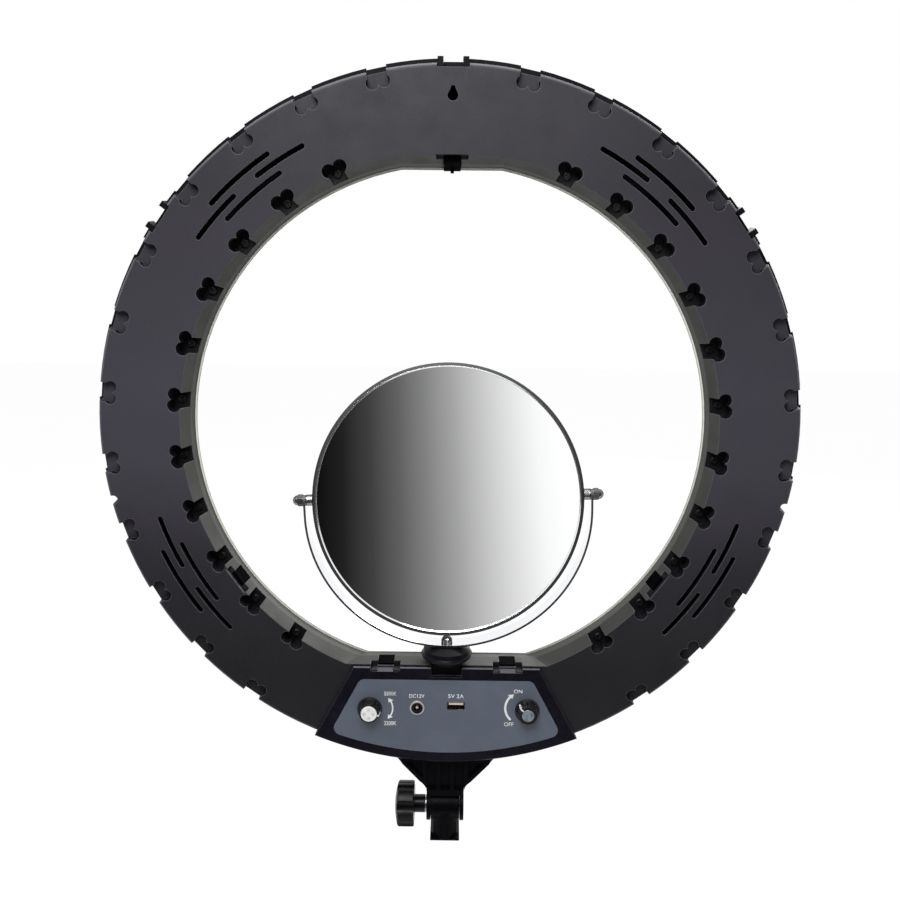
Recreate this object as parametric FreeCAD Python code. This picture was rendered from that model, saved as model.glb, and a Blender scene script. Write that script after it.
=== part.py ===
import FreeCAD
import Part
import math
import os

# LED ring light with a swivelling make-up mirror, modelled in millimetres.
# X runs to the right as the light is seen from behind, Y runs from the back
# of the light to its glowing front, and Z is up. The origin is the centre of
# the mouth of the stand socket, the hole that goes over a light stand's stud.

# Places of the main pieces
axis_depth = 11.0            # stand axis in front of the back face
tilt_height = 24.4           # tilt bolt above the socket's mouth
arm_reach = 44.0             # from the tilt bolt up to the housing's rim
rim_drop = 1.5               # the outer circles are centred a little below the opening

# Housing
rim_radius = 258.8           # outside of the housing at its front edge
outer_draft = 0.24           # outward slope of the outer wall
ring_width = 63.4            # from the central opening to the outside
inner_draft = 0.25           # inward slope of the inner wall
bottom_draft = 0.04          # the same at the lower flat
top_flat_cut = 3.4           # upper flat, inside the opening's circle
bottom_flat_cut = 15.6       # lower flat, inside the opening's circle
cover_depth = 20.0
cover_wall = 2.4
back_plate = 2.6
edge_round = 3.2

# Moulded pockets of the housing, each an outline of two round lobes
pocket_pitch = 12.0          # angle between pockets
outer_pocket_first = 12.0
inner_pocket_first = 24.0
pocket_last = 144.0
outer_lobe_radius = 4.3
outer_lobe_offset = 4.1
outer_pocket_inset = 7.8     # lobe centres inside the back edge
outer_pocket_width = 14.0
outer_pocket_depth = 5.5
rim_step = 2.0
front_step = 1.4             # the same steps in the front rim
well_lobe_radius = 4.8
well_lobe_offset = 4.2
well_outset = 4.5            # lobe centres outside the opening's edge
well_width = 11.6
well_depth = 13.0
well_floor = 2.0
pocket_wall = 1.8

# Vent slots: place outside the middle of the back face and two end angles from the top
slot_width = 3.6
upper_vents = ((5.5, 33.1, 46.9), (-9.5, 33.1, 46.9), (-2.0, 27.1, 37.6), (-2.0, 42.3, 53.0))
lower_vents = ((6.8, 113.3, 127.1), (-8.7, 113.3, 127.1), (-1.2, 107.2, 118.0), (-1.2, 122.5, 133.2))

# Hanging hole at the top of the back face
hang_head_rise = 6.7         # above the middle of the back face
hang_head_radius = 3.6
hang_slot_radius = 1.6
hang_slot_length = 5.0

# Clips between the housing and the front
outer_clip_angles = (0.0, 54.0, -54.0)
outer_clip_width = 22.2
outer_clip_recess = 2.8
prong_width = 4.0
prong_length = 15.0
prong_rise = 4.1
front_clip_step = 2.4        # step in the front rim between two prongs
bite_angles = (102.3, -102.3)
bite_radius = 3.3
bite_inset = 1.6             # middle of the bite inside the back edge
inner_clip_angles = (0.0, 126.0, -126.0)
lower_clip_offset = 46.5
clip_window_width = 12.4
clip_window_start = 4.5
clip_window_end = 15.0
top_hook_rise = 2.4          # how far the uppermost hook stands into the opening
clip_notch_width = 22.4
clip_notch_depth = 6.0
clip_notch_reach = 1.2       # how far windows and notches reach into the back face
lower_notch_reach = 4.6      # the same for the two clips beside the mirror foot
lower_window_start = 2.0     # their windows begin nearer the back face
clip_ramp_drop = 1.5         # top of the panel's ramps below its edge
clip_gap = 0.3

# Front of the light
front_rim_step = 3.2
front_rim_wall = 2.6
front_rim_depth = 3.6
front_rim_flange = 1.2
flange_reach = 7.0
diffuser_depth = 12.0
diffuser_wall = 2.0
diffuser_overhang = 1.6      # edge that stands inside the housing's opening
bottom_overhang = 0.5        # the same at the lower flat
diffuser_flare = 0.5         # outward slope of the edge towards the front
diffuser_round = 7.0
inner_round = 2.4
diffuser_gap = 0.3
post_radius = 3.4

# Light engine
board_start = 16.6
board_thickness = 1.4
board_inner_gap = 13.6       # board edges from the opening and from the outside
board_outer_gap = 14.4
chip_rows = (5.0, 12.0, 19.0, 26.0, 32.0)   # rows of chips outside the board's inner edge
chips_per_row = 60
chip_width = 3.5
chip_height = 2.8
chip_rise = 0.8

# Screws in the wells
cover_screw_inset = 2.8
cover_screw_radius = 1.5
cover_screw_head = 3.0
cover_screw_head_height = 2.2
cover_screw_grip = 7.0
thread_gap = 0.05
screw_gap = 0.25

# Control panel
panel_rise = 3.0
panel_top_half = 70.2
panel_side_half = 98.8
panel_side_length = 54.0     # height of the panel's sloping sides
panel_rim_gap = 0.5
panel_top_gap = 1.0          # panel's top edge below the opening's flat
panel_bevel = 0.8
panel_skirt = 2.6
panel_window_inset = 12.0
panel_window_rise = 17.0     # window's arc above the panel's arc
panel_screw_inset = 2.2
label_top_inset = 11.0       # from the opening's flat
label_side_inset = 9.3
label_arc_inset = 8.2
label_round = 6.0
label_recess = 0.5
label_thickness = 0.7
label_gap = 0.15

# Controls and sockets on the panel
temperature_x = -58.3
brightness_x = 62.0
control_fall = 34.8          # knobs below the opening's flat
jack_x = -22.1
jack_fall = 33.2
usb_x = 7.5
usb_fall = 31.7
skirt_radius = 9.6
skirt_height = 1.8
skirt_taper = 0.6
knob_radius = 8.2
knob_top_radius = 7.4
knob_height = 7.4
knob_lift = 0.4
temperature_cap_radius = 6.1
brightness_cap_radius = 4.6
cap_rise = 0.8
flute_count = 9
flute_radius = 1.7
flute_outset = 0.7
pointer_width = 1.1
pointer_depth = 0.7
pointer_rise = 0.4
temperature_pointer_angle = 103.0   # from the top, towards +X
brightness_pointer_angle = -46.0
pot_radius = 8.2
pot_length = 7.6
pot_bush_radius = 3.4
pot_shaft_radius = 3.0
pot_nut_flat = 10.0
pot_nut_height = 2.0
shaft_gap = 0.05
jack_nut_radius = 5.6
jack_bush_radius = 4.4
jack_bore_radius = 2.8
jack_bore_depth = 9.0
jack_pin_radius = 1.05
jack_body_width = 12.0
usb_width = 13.9
usb_height = 6.3
usb_wall = 0.4
usb_tongue_width = 11.0
usb_tongue_thickness = 1.9

# Driver board
driver_start = 10.6
driver_thickness = 1.6
driver_half = 80.0
driver_fall = 18.2           # board's top below the opening's flat
driver_width = 34.0
driver_post_radius = 3.4
driver_post_x = 74.0
board_screw_radius = 1.25
board_screw_head = 2.6
board_screw_head_height = 1.6
panel_screw_radius = 1.25
lead_radius = 0.9

# Mounting arm
arm_half_thickness = 8.0
arm_flare = 41.0             # half width where the arm meets the housing
arm_slope_start = (34.0, 4.9)    # half width and drop below the rim
arm_slope_end = (19.6, 20.3)
arm_recess_top = 3.3
arm_recess_end = 27.3
arm_wing_reach = 31.6
ear_outer = 14.6
ear_inner = 11.6
ear_radius = 12.0
knuckle_gap = 0.7
arm_rib_pitch = 10.8
arm_rib_half = 1.4
arm_recess = 3.0
arm_screw_radius = 2.0
arm_screw_head = 3.8
arm_screw_head_height = 2.4
arm_screw_length = 14.0
arm_screw_places = (-27.0, -9.0, 9.0, 27.0)

# Stand socket
socket_radius = 11.3
socket_bore_radius = 8.05
socket_bore_depth = 19.0
socket_knuckle = 11.0
socket_plate_half = 11.5
socket_plate_thickness = 1.3
socket_flute_count = 12
socket_flute_radius = 1.1
socket_flute_start = 2.6
socket_flute_end = 14.0

# Tilt bolt and knob
bolt_radius = 3.0
bolt_gap = 0.06
nut_flat = 10.0
nut_height = 2.0
nut_recess = 2.2
washer_radius = 6.4
washer_thickness = 1.0
tilt_knob_inner = 24.5
tilt_knob_outer = 39.7
tilt_knob_radius = 17.0
tilt_knob_dome = 2.2
tilt_knob_cover = 4.0
tilt_knob_lobes = 6
scallop_radius = 6.6
tilt_collar_radius = 6.7

# Stud lock screw
lock_height = 8.0
lock_screw_radius = 2.5
lock_knob_radius = 7.0
lock_knob_length = 9.0
lock_knob_start = 14.5
lock_lobes = 6

# Mirror
mirror_depth = 6.0
pivot_drop = 50.0
mirror_radius = 100.5
mirror_tilt = -14.2
mirror_lean = 2.0            # the yoke sits turned on its bowl, its right end higher
mirror_thickness = 10.0
frame_wall = 1.2
frame_lip = 3.4
frame_slope = 0.9            # bevel from the frame's crest in to the glass
frame_slope_depth = 0.8
frame_bevel_depth = 1.5      # bevel from the frame's crest out to its side
glass_thickness = 2.0
glass_gap = 0.15
magnifier_sag = 1.2
yoke_centre_drop = 60.0
yoke_half_width = 106.6
yoke_thickness = 1.6
yoke_band = 14.0
yoke_tip = 6.0
pin_radius = 1.8
pin_gap = 0.06
spacer_radius = 4.2
spacer_gap = 0.3
cap_nut_flat = 8.0
cap_nut_height = 4.2
cap_nut_dome = 3.9
pivot_washer_radius = 4.6
pivot_washer_thickness = 0.6
base_disc_radius = 19.5
base_disc_rise = 7.6         # above the opening's lower flat
yoke_rise = 14.4
base_top_radius = 9.0
base_shoulder_radius = 17.5
base_foot_radius = 10.6
base_foot_rise = 1.8
base_gap = 0.3
foot_width = 22.6
foot_start = 1.0
foot_end = 15.5
foot_fall = 8.4
notch_width = 23.4
notch_fall = 8.7
base_screw_radius = 2.5
dome_nut_radius = 4.2
dome_nut_height = 0.8

# Values that follow
back_y = -axis_depth
ring_height = tilt_height + arm_reach + rim_radius
back_radius = rim_radius - outer_draft * cover_depth
front_rim_radius = rim_radius + front_rim_step
opening_radius = rim_radius - ring_width
ring_middle = (back_radius + opening_radius) / 2.0
top_flat = opening_radius - top_flat_cut
bottom_flat = opening_radius - bottom_flat_cut
hang_head_height = ring_middle + hang_head_rise
hang_slot_height = hang_head_height + hang_slot_length
board_inner = opening_radius + board_inner_gap
board_outer = rim_radius - board_outer_gap
panel_radius = rim_radius - panel_rim_gap
panel_side_drop = bottom_flat + panel_side_length
control_drop = bottom_flat + control_fall
jack_drop = bottom_flat + jack_fall
usb_drop = bottom_flat + usb_fall
driver_top = bottom_flat + driver_fall
driver_bottom = driver_top + driver_width
yoke_half_height = bottom_flat - yoke_rise - yoke_centre_drop
base_disc_drop = bottom_flat - base_disc_rise
base_foot_drop = bottom_flat - base_foot_rise
foot_bottom = bottom_flat + foot_fall
notch_bottom = bottom_flat + notch_fall
lateral = FreeCAD.Vector(1, 0, 0)
deep = FreeCAD.Vector(0, 1, 0)
up = FreeCAD.Vector(0, 0, 1)
ring_centre = FreeCAD.Vector(0, 0, ring_height)
far = 400.0                  # longer than any piece, for cuts that run past both ends

os.makedirs("parts", exist_ok=True)


def save(name, *solids):
    """Write one sub-part, made of one or more separate solids."""
    shape = solids[0] if len(solids) == 1 else Part.makeCompound(list(solids))
    shape.exportStep("parts/" + name + ".step")
    print(name, "solids", len(shape.Solids), "volume", round(shape.Volume, 1), "valid", shape.isValid())


def one(shape):
    """The single solid of a boolean result."""
    return shape.removeSplitter().Solids[0]


def place(x, depth, height):
    """A point from the ring's centre: across, depth from the back face, height."""
    return FreeCAD.Vector(x, back_y + depth, ring_height + height)


def block(x0, x1, d0, d1, h0, h1):
    """A box given by its two ends across, in depth and in height from the ring's centre."""
    return Part.makeBox(x1 - x0, d1 - d0, h1 - h0, place(x0, d0, h0))


def rod(radius, x, height, d0, d1):
    """A cylinder that runs in depth."""
    return Part.makeCylinder(radius, d1 - d0, place(x, d0, height), deep)


def cone(radius0, radius1, x, height, d0, d1):
    """A cone that runs in depth."""
    return Part.makeCone(radius0, radius1, d1 - d0, place(x, d0, height), deep)


def bar(radius, x0, x1, y, z):
    """A cylinder that runs across, given in the part's own frame."""
    return Part.makeCylinder(radius, x1 - x0, FreeCAD.Vector(x0, y, z), lateral)


def pole(radius, x, y, z0, z1):
    """A cylinder that stands upright, given in the part's own frame."""
    return Part.makeCylinder(radius, z1 - z0, FreeCAD.Vector(x, y, z0), up)


def turned(shape, angle):
    """A copy turned about the ring's axis, by an angle from the top towards +X."""
    copy = shape.copy()
    copy.rotate(ring_centre, deep, angle)
    return copy


def both_sides(first, last, pitch):
    """Angles from first to last, on both sides of the top."""
    count = int(round((last - first) / pitch)) + 1
    right = [first + pitch * step for step in range(count)]
    return right + [-angle for angle in right]


def prism(points_or_wire, d0, d1):
    """A solid extruded in depth from an outline that lies at depth zero."""
    wire = points_or_wire
    if isinstance(points_or_wire, list):
        wire = Part.makePolygon([place(x, 0.0, h) for x, h in points_or_wire + points_or_wire[:1]])
    solid = Part.Face(wire).extrude(deep * (d1 - d0))
    solid.translate(deep * d0)
    return solid


def hexagon(flat, start, axis, height):
    """A hexagonal prism from its width across flats."""
    radius = flat / math.sqrt(3.0)
    side = FreeCAD.Vector(0, 0, 1) if abs(axis.z) < 0.5 else FreeCAD.Vector(1, 0, 0)
    other = axis.cross(side)
    corners = []
    for step in range(7):
        turn = math.radians(60.0 * step)
        corners.append(start + side * (radius * math.cos(turn)) + other * (radius * math.sin(turn)))
    return Part.Face(Part.makePolygon(corners)).extrude(axis * height)


# Forms of the ring

def outer_radius_at(depth):
    return back_radius + outer_draft * depth


def outer_form(offset, d0, d1):
    """The housing's outer cone, grown by an offset."""
    return cone(outer_radius_at(d0) + offset, outer_radius_at(d1) + offset, 0.0, -rim_drop, d0, d1)


def at_rim(shape, angle):
    """Brings a shape drawn at the top of the ring to its place on the lowered outer circle."""
    copy = shape.copy()
    copy.translate(up * (-rim_drop * math.cos(math.radians(angle))))
    return turned(copy, angle)


def opening_form(offset, d0, d1):
    """The central opening with its two flats, grown by an offset."""
    radii = [opening_radius - inner_draft * depth + offset for depth in (d0, d1)]
    tops = [top_flat - inner_draft * depth + offset for depth in (d0, d1)]
    bottoms = [bottom_flat - bottom_draft * depth + offset for depth in (d0, d1)]
    corners = [
        place(-far, d0, tops[0]),
        place(-far, d1, tops[1]),
        place(-far, d1, -bottoms[1]),
        place(-far, d0, -bottoms[0]),
        place(-far, d0, tops[0]),
    ]
    wedge = Part.Face(Part.makePolygon(corners)).extrude(lateral * 2.0 * far)
    return cone(radii[0], radii[1], 0.0, 0.0, d0, d1).common(wedge)


def lobed_outline(lobe_radius, lobe_offset, lobe_height, half_width, end_height):
    """An outline at the top of the ring: two lobes side by side and a straight mouth.

    The mouth runs towards end_height, and the lobes meet in a cusp on the other side.
    """
    way = 1.0 if end_height > lobe_height else -1.0
    shoulder = way * math.sqrt(lobe_radius ** 2 - (half_width - lobe_offset) ** 2)
    cusp = -way * math.sqrt(lobe_radius ** 2 - lobe_offset ** 2)
    bulge = lobe_radius * math.sqrt(0.5)

    def spot(x, h):
        return place(x, 0.0, h)

    right_shoulder = spot(half_width, lobe_height + shoulder)
    left_shoulder = spot(-half_width, lobe_height + shoulder)
    middle = spot(0.0, lobe_height + cusp)
    right_lobe = spot(lobe_offset + bulge, lobe_height - way * bulge)
    left_lobe = spot(-lobe_offset - bulge, lobe_height - way * bulge)
    edges = [
        Part.Arc(left_shoulder, left_lobe, middle).toShape(),
        Part.Arc(middle, right_lobe, right_shoulder).toShape(),
        Part.makeLine(right_shoulder, spot(half_width, end_height)),
        Part.makeLine(spot(half_width, end_height), spot(-half_width, end_height)),
        Part.makeLine(spot(-half_width, end_height), left_shoulder),
    ]
    return Part.Wire(edges)


def arc_slot(radius, angle0, angle1, width, d0, d1):
    """A slot with round ends that follows a circle about the ring's centre."""
    def spot(at_radius, angle):
        turn = math.radians(angle)
        return place(at_radius * math.sin(turn), 0.0, at_radius * math.cos(turn))

    half = width / 2.0
    trim = math.degrees(half / radius)
    start, end = angle0 + trim, angle1 - trim
    middle = (start + end) / 2.0
    edges = [
        Part.Arc(spot(radius + half, start), spot(radius + half, middle), spot(radius + half, end)).toShape(),
        Part.Arc(spot(radius + half, end), spot(radius, angle1), spot(radius - half, end)).toShape(),
        Part.Arc(spot(radius - half, end), spot(radius - half, middle), spot(radius - half, start)).toShape(),
        Part.Arc(spot(radius - half, start), spot(radius, angle0), spot(radius + half, start)).toShape(),
    ]
    return prism(Part.Wire(edges), d0, d1)


def panel_outline(top_inset, side_inset, arc_inset):
    """The control panel's outline, drawn in by three insets."""
    top = -bottom_flat - top_inset
    run_x = panel_side_half - panel_top_half
    run_z = panel_side_drop - bottom_flat
    length = math.hypot(run_x, run_z)
    slope = run_x / run_z
    shift = side_inset * length / run_z
    radius = panel_radius - arc_inset

    def side_x(height):
        return panel_top_half + (-bottom_flat - height) * slope - shift

    height = -panel_side_drop
    for _ in range(30):
        height = -math.sqrt(radius ** 2 - side_x(height) ** 2)
    corner_x = side_x(height)
    upper_x = side_x(top)
    left_top, right_top = place(-upper_x, 0, top), place(upper_x, 0, top)
    left_low, right_low = place(-corner_x, 0, height), place(corner_x, 0, height)
    edges = [
        Part.makeLine(left_top, right_top),
        Part.makeLine(right_top, right_low),
        Part.Arc(right_low, place(0, 0, -radius), left_low).toShape(),
        Part.makeLine(left_low, left_top),
    ]
    return Part.Wire(edges)


# Housing

outer_pocket_angles = both_sides(outer_pocket_first, pocket_last, pocket_pitch)
well_angles = both_sides(inner_pocket_first, pocket_last, pocket_pitch)
well_radius = opening_radius + well_outset
pocket_radius = back_radius - outer_pocket_inset
screw_circle = opening_radius + cover_screw_inset


def outer_pocket(grow, depth):
    wire = lobed_outline(
        outer_lobe_radius + grow,
        outer_lobe_offset,
        pocket_radius,
        outer_pocket_width / 2.0 + grow,
        back_radius + 12.0,
    )
    return prism(wire, -1.0, depth)


def screw_well(grow, depth):
    wire = lobed_outline(
        well_lobe_radius + grow,
        well_lobe_offset,
        well_radius,
        well_width / 2.0 + grow,
        opening_radius - 14.0,
    )
    return prism(wire, -1.0, depth)


def rim_cut(half_width, recess, d0, d1):
    """A flat-floored step in the outer wall at the top, sloping with the wall."""
    floor0 = outer_radius_at(d0) - recess
    floor1 = outer_radius_at(d1) - recess
    top = outer_radius_at(d1) + 8.0
    corners = [
        place(-half_width, d0, floor0),
        place(-half_width, d1, floor1),
        place(-half_width, d1, top),
        place(-half_width, d0, top),
        place(-half_width, d0, floor0),
    ]
    return Part.Face(Part.makePolygon(corners)).extrude(lateral * 2.0 * half_width)


def bite_form(grow, d0, d1):
    """The round bite in the rim, drawn at the top and open to the outside."""
    half = bite_radius + grow
    middle = back_radius - bite_inset
    return rod(half, 0.0, middle, d0, d1).fuse(block(-half, half, d0, d1, middle, rim_radius + 8.0))


def clip_spots():
    """Inner clips: turned copies of one at the top, and the two beside the mirror foot."""
    spots = []
    for angle in inner_clip_angles:
        spots.append((angle, 0.0, top_flat if angle == 0.0 else opening_radius))
    for side in (-1.0, 1.0):
        spots.append((180.0, side * lower_clip_offset, bottom_flat))
    return spots


def clip_start(angle):
    """Back end of a clip's window."""
    return lower_window_start if angle == 180.0 else clip_window_start


def clip_end(angle):
    """Front end of a clip's window; the uppermost runs up to the housing's front edge."""
    return cover_depth if angle == 0.0 else clip_window_end


def clip_reach(angle):
    """How far a clip's window and notches reach into the back face."""
    return lower_notch_reach if angle == 180.0 else clip_notch_reach


def clip_cut(angle, shift, radius):
    """Window in the inner wall and the two notches at the back edge, drawn at the top."""
    half = clip_window_width / 2.0
    outer_half = clip_notch_width / 2.0
    reach = radius + clip_reach(angle)
    window = block(shift - half, shift + half, clip_start(angle), clip_end(angle) + 0.5, radius - 9.0, reach)
    notches = []
    for x0, x1 in ((shift - outer_half, shift - half), (shift + half, shift + outer_half)):
        notches.append(block(x0, x1, -1.0, clip_notch_depth, radius - 9.0, reach))
    tongue = block(shift - half, shift + half, -1.0, clip_notch_depth, radius - 9.0, radius + 1.2)
    return [window, tongue] + notches


def clip_boss(angle, shift, radius):
    half = clip_notch_width / 2.0 + pocket_wall
    return block(shift - half, shift + half, 0.0, clip_end(angle) + pocket_wall, radius - 12.0,
                 radius + clip_reach(angle) + pocket_wall)


def rear_cover():
    blank = outer_form(0.0, 0.0, cover_depth)
    edges = [edge for edge in blank.Edges if abs(edge.BoundBox.YMax - back_y) < 1e-6]
    blank = blank.makeFillet(edge_round, edges[:1])
    blank = blank.cut(opening_form(0.0, -1.0, cover_depth + 1.0))
    cavity = outer_form(-cover_wall, back_plate, cover_depth + 1.0)
    cavity = cavity.cut(opening_form(cover_wall, 0.0, cover_depth + 2.0))
    bosses = []
    cuts = []
    for angle in outer_pocket_angles:
        bosses.append(at_rim(outer_pocket(pocket_wall, outer_pocket_depth + pocket_wall), angle))
        bosses.append(at_rim(rim_cut(outer_pocket_width / 2.0 + pocket_wall, rim_step + cover_wall, 0.0,
                                     cover_depth + 1.0), angle))
        cuts.append(at_rim(outer_pocket(0.0, outer_pocket_depth), angle))
        cuts.append(at_rim(rim_cut(outer_pocket_width / 2.0, rim_step, -1.0, cover_depth + 1.0), angle))
    for angle in well_angles:
        bosses.append(turned(screw_well(pocket_wall, well_depth + well_floor), angle))
        cuts.append(turned(screw_well(0.0, well_depth), angle))
        cuts.append(turned(rod(cover_screw_radius + screw_gap, 0.0, screw_circle, 0.0, cover_depth), angle))
    for angle in outer_clip_angles:
        half = outer_clip_width / 2.0
        bosses.append(at_rim(rim_cut(half + pocket_wall, outer_clip_recess + cover_wall, 0.0,
                                     cover_depth + 1.0), angle))
        cuts.append(at_rim(rim_cut(half, outer_clip_recess, -1.0, cover_depth + 1.0), angle))
    for angle in bite_angles:
        bosses.append(at_rim(bite_form(pocket_wall, 0.0, cover_depth + 1.0), angle))
        cuts.append(at_rim(bite_form(0.0, -1.0, cover_depth + 1.0), angle))
    for angle, shift, radius in clip_spots():
        bosses.append(turned(clip_boss(angle, shift, radius), angle))
        cuts += [turned(piece, angle) for piece in clip_cut(angle, shift, radius)]
    for offset, angle0, angle1 in upper_vents + lower_vents:
        radius = ring_middle + offset
        cuts.append(arc_slot(radius, angle0, angle1, slot_width, -1.0, back_plate + 1.0))
        cuts.append(arc_slot(radius, -angle1, -angle0, slot_width, -1.0, back_plate + 1.0))
    cuts.append(rod(hang_head_radius, 0.0, hang_head_height, -1.0, back_plate + 1.0))
    cuts.append(rod(hang_slot_radius, 0.0, hang_slot_height, -1.0, back_plate + 1.0))
    cuts.append(prism([(-hang_head_radius * 0.9, hang_head_height + 1.2), (-hang_slot_radius, hang_slot_height),
                       (hang_slot_radius, hang_slot_height), (hang_head_radius * 0.9, hang_head_height + 1.2)],
                      -1.0, back_plate + 1.0))
    half = notch_width / 2.0
    bosses.append(block(-half - pocket_wall, half + pocket_wall, 0.0, foot_end + 2.0 + pocket_wall,
                        -notch_bottom - pocket_wall, -bottom_flat + 8.0))
    cuts.append(block(-half, half, -1.0, foot_end + 1.0, -notch_bottom, -bottom_flat + 8.0))
    for x in arm_screw_places:
        seat = arm_seat(x)
        bosses.append(pole(arm_screw_head + 1.2, x, 0.0, seat - 8.0, seat))
        cuts.append(pole(arm_screw_radius + screw_gap, x, 0.0, seat - 14.0, seat + 1.0))
    for x, height in panel_screw_spots():
        cuts.append(rod(panel_screw_radius + screw_gap, x, height, -1.0, back_plate + 1.0))
    cuts.append(prism(panel_outline(panel_window_inset, panel_window_inset, panel_window_rise),
                      -1.0, back_plate + 1.0))
    shell = blank.cut(cavity.cut(bosses))
    return one(shell.cut(cuts))


def arm_seat(x):
    """Height of the flat seat for an arm screw inside the outer wall."""
    inside = outer_radius_at(axis_depth) - cover_wall
    return ring_height - rim_drop - math.sqrt(inside ** 2 - x ** 2) + 3.0


def panel_screw_spots():
    spots = []
    for side in (-1.0, 1.0):
        spots.append((side * (panel_top_half - panel_screw_inset), -bottom_flat - 7.0))
        spots.append((side * (panel_side_half - 9.5), -panel_side_drop + 5.0))
    return spots


# Front of the light

def front_rim():
    end = cover_depth + front_rim_depth
    hollow = front_rim_radius - front_rim_wall
    ring = rod(front_rim_radius, 0.0, -rim_drop, cover_depth, end)
    ring = ring.cut(rod(hollow - flange_reach, 0.0, -rim_drop, cover_depth - 1.0, end + 1.0))
    ring = ring.cut(rod(hollow, 0.0, -rim_drop, cover_depth + front_rim_flange, end + 1.0))
    prongs = []
    for angle in outer_clip_angles:
        for side in (-1.0, 1.0):
            middle = side * (outer_clip_width / 2.0 - clip_gap - prong_width / 2.0)
            d0 = cover_depth - prong_length
            floor0 = outer_radius_at(d0) - outer_clip_recess + clip_gap
            floor1 = outer_radius_at(cover_depth) - outer_clip_recess + clip_gap
            top = rim_radius + prong_rise
            rim_floor = hollow + thread_gap
            corners = [
                place(middle - prong_width / 2.0, d0, floor0),
                place(middle - prong_width / 2.0, cover_depth, floor1),
                place(middle - prong_width / 2.0, cover_depth, rim_floor),
                place(middle - prong_width / 2.0, end, rim_floor),
                place(middle - prong_width / 2.0, end, top),
                place(middle - prong_width / 2.0, d0, top - 3.6),
                place(middle - prong_width / 2.0, d0, floor0),
            ]
            prongs.append(at_rim(Part.Face(Part.makePolygon(corners)).extrude(lateral * prong_width), angle))
    steps = [(outer_clip_width / 2.0 - prong_width - clip_gap, front_clip_step, angle)
             for angle in outer_clip_angles]
    steps += [(outer_pocket_width / 2.0, front_step, angle) for angle in outer_pocket_angles]
    notches = [at_rim(block(-half, half, cover_depth - 1.0, end + 1.0, front_rim_radius - step,
                            front_rim_radius + 8.0), angle) for half, step, angle in steps]
    notches += [at_rim(bite_form(0.0, cover_depth - 1.0, end + 1.0), angle) for angle in bite_angles]
    return one(ring.cut(notches).fuse(prongs))


def dome_form(grow, d0, depth, rounding):
    """The diffuser's outside: a ring with rounded front edges."""
    outside = front_rim_radius - front_rim_wall - diffuser_gap + grow
    body = rod(outside, 0.0, -rim_drop, d0, cover_depth + depth)
    rim = [edge for edge in body.Edges
           if abs(edge.BoundBox.YMin - (back_y + cover_depth + depth)) < 1e-6]
    body = body.makeFillet(rounding, rim[:1])
    hole = flared_opening(-grow, d0 - 1.0, cover_depth + depth + 1.0)
    body = body.cut(hole)
    front = back_y + cover_depth + depth
    inner = [edge for edge in body.Edges
             if abs(edge.BoundBox.YMin - front) < 1e-6 and abs(edge.BoundBox.YMax - front) < 1e-6
             and edge.BoundBox.XMax < back_radius - 20.0 and edge.BoundBox.XMin > -back_radius + 20.0]
    return body.makeFillet(inner_round + min(grow, 0.0), inner)


def flared_opening(offset, d0, d1):
    """The diffuser's own opening, which widens from the housing's front edge."""
    grows = [diffuser_flare * (depth - cover_depth) + offset for depth in (d0, d1)]
    front_edge = inner_draft * cover_depth + diffuser_overhang
    radii = [opening_radius - front_edge + grow for grow in grows]
    tops = [top_flat - front_edge + grow for grow in grows]
    bottoms = [bottom_edge() + grow for grow in grows]
    corners = [
        place(-far, d0, tops[0]),
        place(-far, d1, tops[1]),
        place(-far, d1, -bottoms[1]),
        place(-far, d0, -bottoms[0]),
        place(-far, d0, tops[0]),
    ]
    wedge = Part.Face(Part.makePolygon(corners)).extrude(lateral * 2.0 * far)
    return cone(radii[0], radii[1], 0.0, 0.0, d0, d1).common(wedge)


def bottom_edge():
    """Drop of the diffuser's edge at the lower flat."""
    return bottom_flat - bottom_draft * cover_depth - bottom_overhang


def diffuser():
    start = cover_depth + front_rim_flange
    shell = dome_form(0.0, start, diffuser_depth, diffuser_round)
    core = dome_form(-diffuser_wall, start - 1.0, diffuser_depth - diffuser_wall, diffuser_round - diffuser_wall)
    shell = shell.cut(core)
    inner_lip = rod(opening_radius + 2.0, 0.0, 0.0, cover_depth, start + 0.01)
    inner_lip = inner_lip.cut(flared_opening(0.0, cover_depth - 1.0, start + 1.0))
    inner_lip = inner_lip.common(outer_form(0.0, cover_depth, start + 1.0))
    trimmed = inner_lip.cut(opening_form(cover_wall, cover_depth - 1.0, start + 2.0))
    lip = inner_lip.cut(trimmed)
    posts = []
    holes = []
    start = well_depth + well_floor
    for angle in well_angles:
        posts.append(turned(rod(post_radius, 0.0, screw_circle, start,
                                cover_depth + diffuser_depth - diffuser_wall / 2.0), angle))
        holes.append(turned(rod(cover_screw_radius + thread_gap, 0.0, screw_circle, start - 1.0,
                                well_depth + cover_screw_grip + 2.0), angle))
    return one(shell.fuse([lip] + posts).cut(holes))


def inner_clips():
    """Black hooks that close the windows in the inner wall."""
    hooks = []
    half = clip_window_width / 2.0 - clip_gap
    for angle, shift, radius in clip_spots():
        start = clip_start(angle) + clip_gap
        end = clip_end(angle) - clip_gap
        draft = bottom_draft if angle == 180.0 else inner_draft
        rise = top_hook_rise if angle == 0.0 else 0.0
        corners = [
            place(shift - half, start, radius - draft * start - rise),
            place(shift - half, end, radius - draft * end - rise),
            place(shift - half, end, radius + clip_reach(angle)),
            place(shift - half, start, radius + clip_reach(angle)),
            place(shift - half, start, radius - draft * start - rise),
        ]
        hook = Part.Face(Part.makePolygon(corners)).extrude(lateral * 2.0 * half)
        if angle == 0.0:
            tip_end = radius - draft * end - rise
            hook = hook.fuse(block(shift - 1.2, shift + 1.2, end - 5.0, end, tip_end - 1.5, tip_end + 2.0))
        hooks.append(turned(one(hook), angle))
    return hooks


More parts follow.
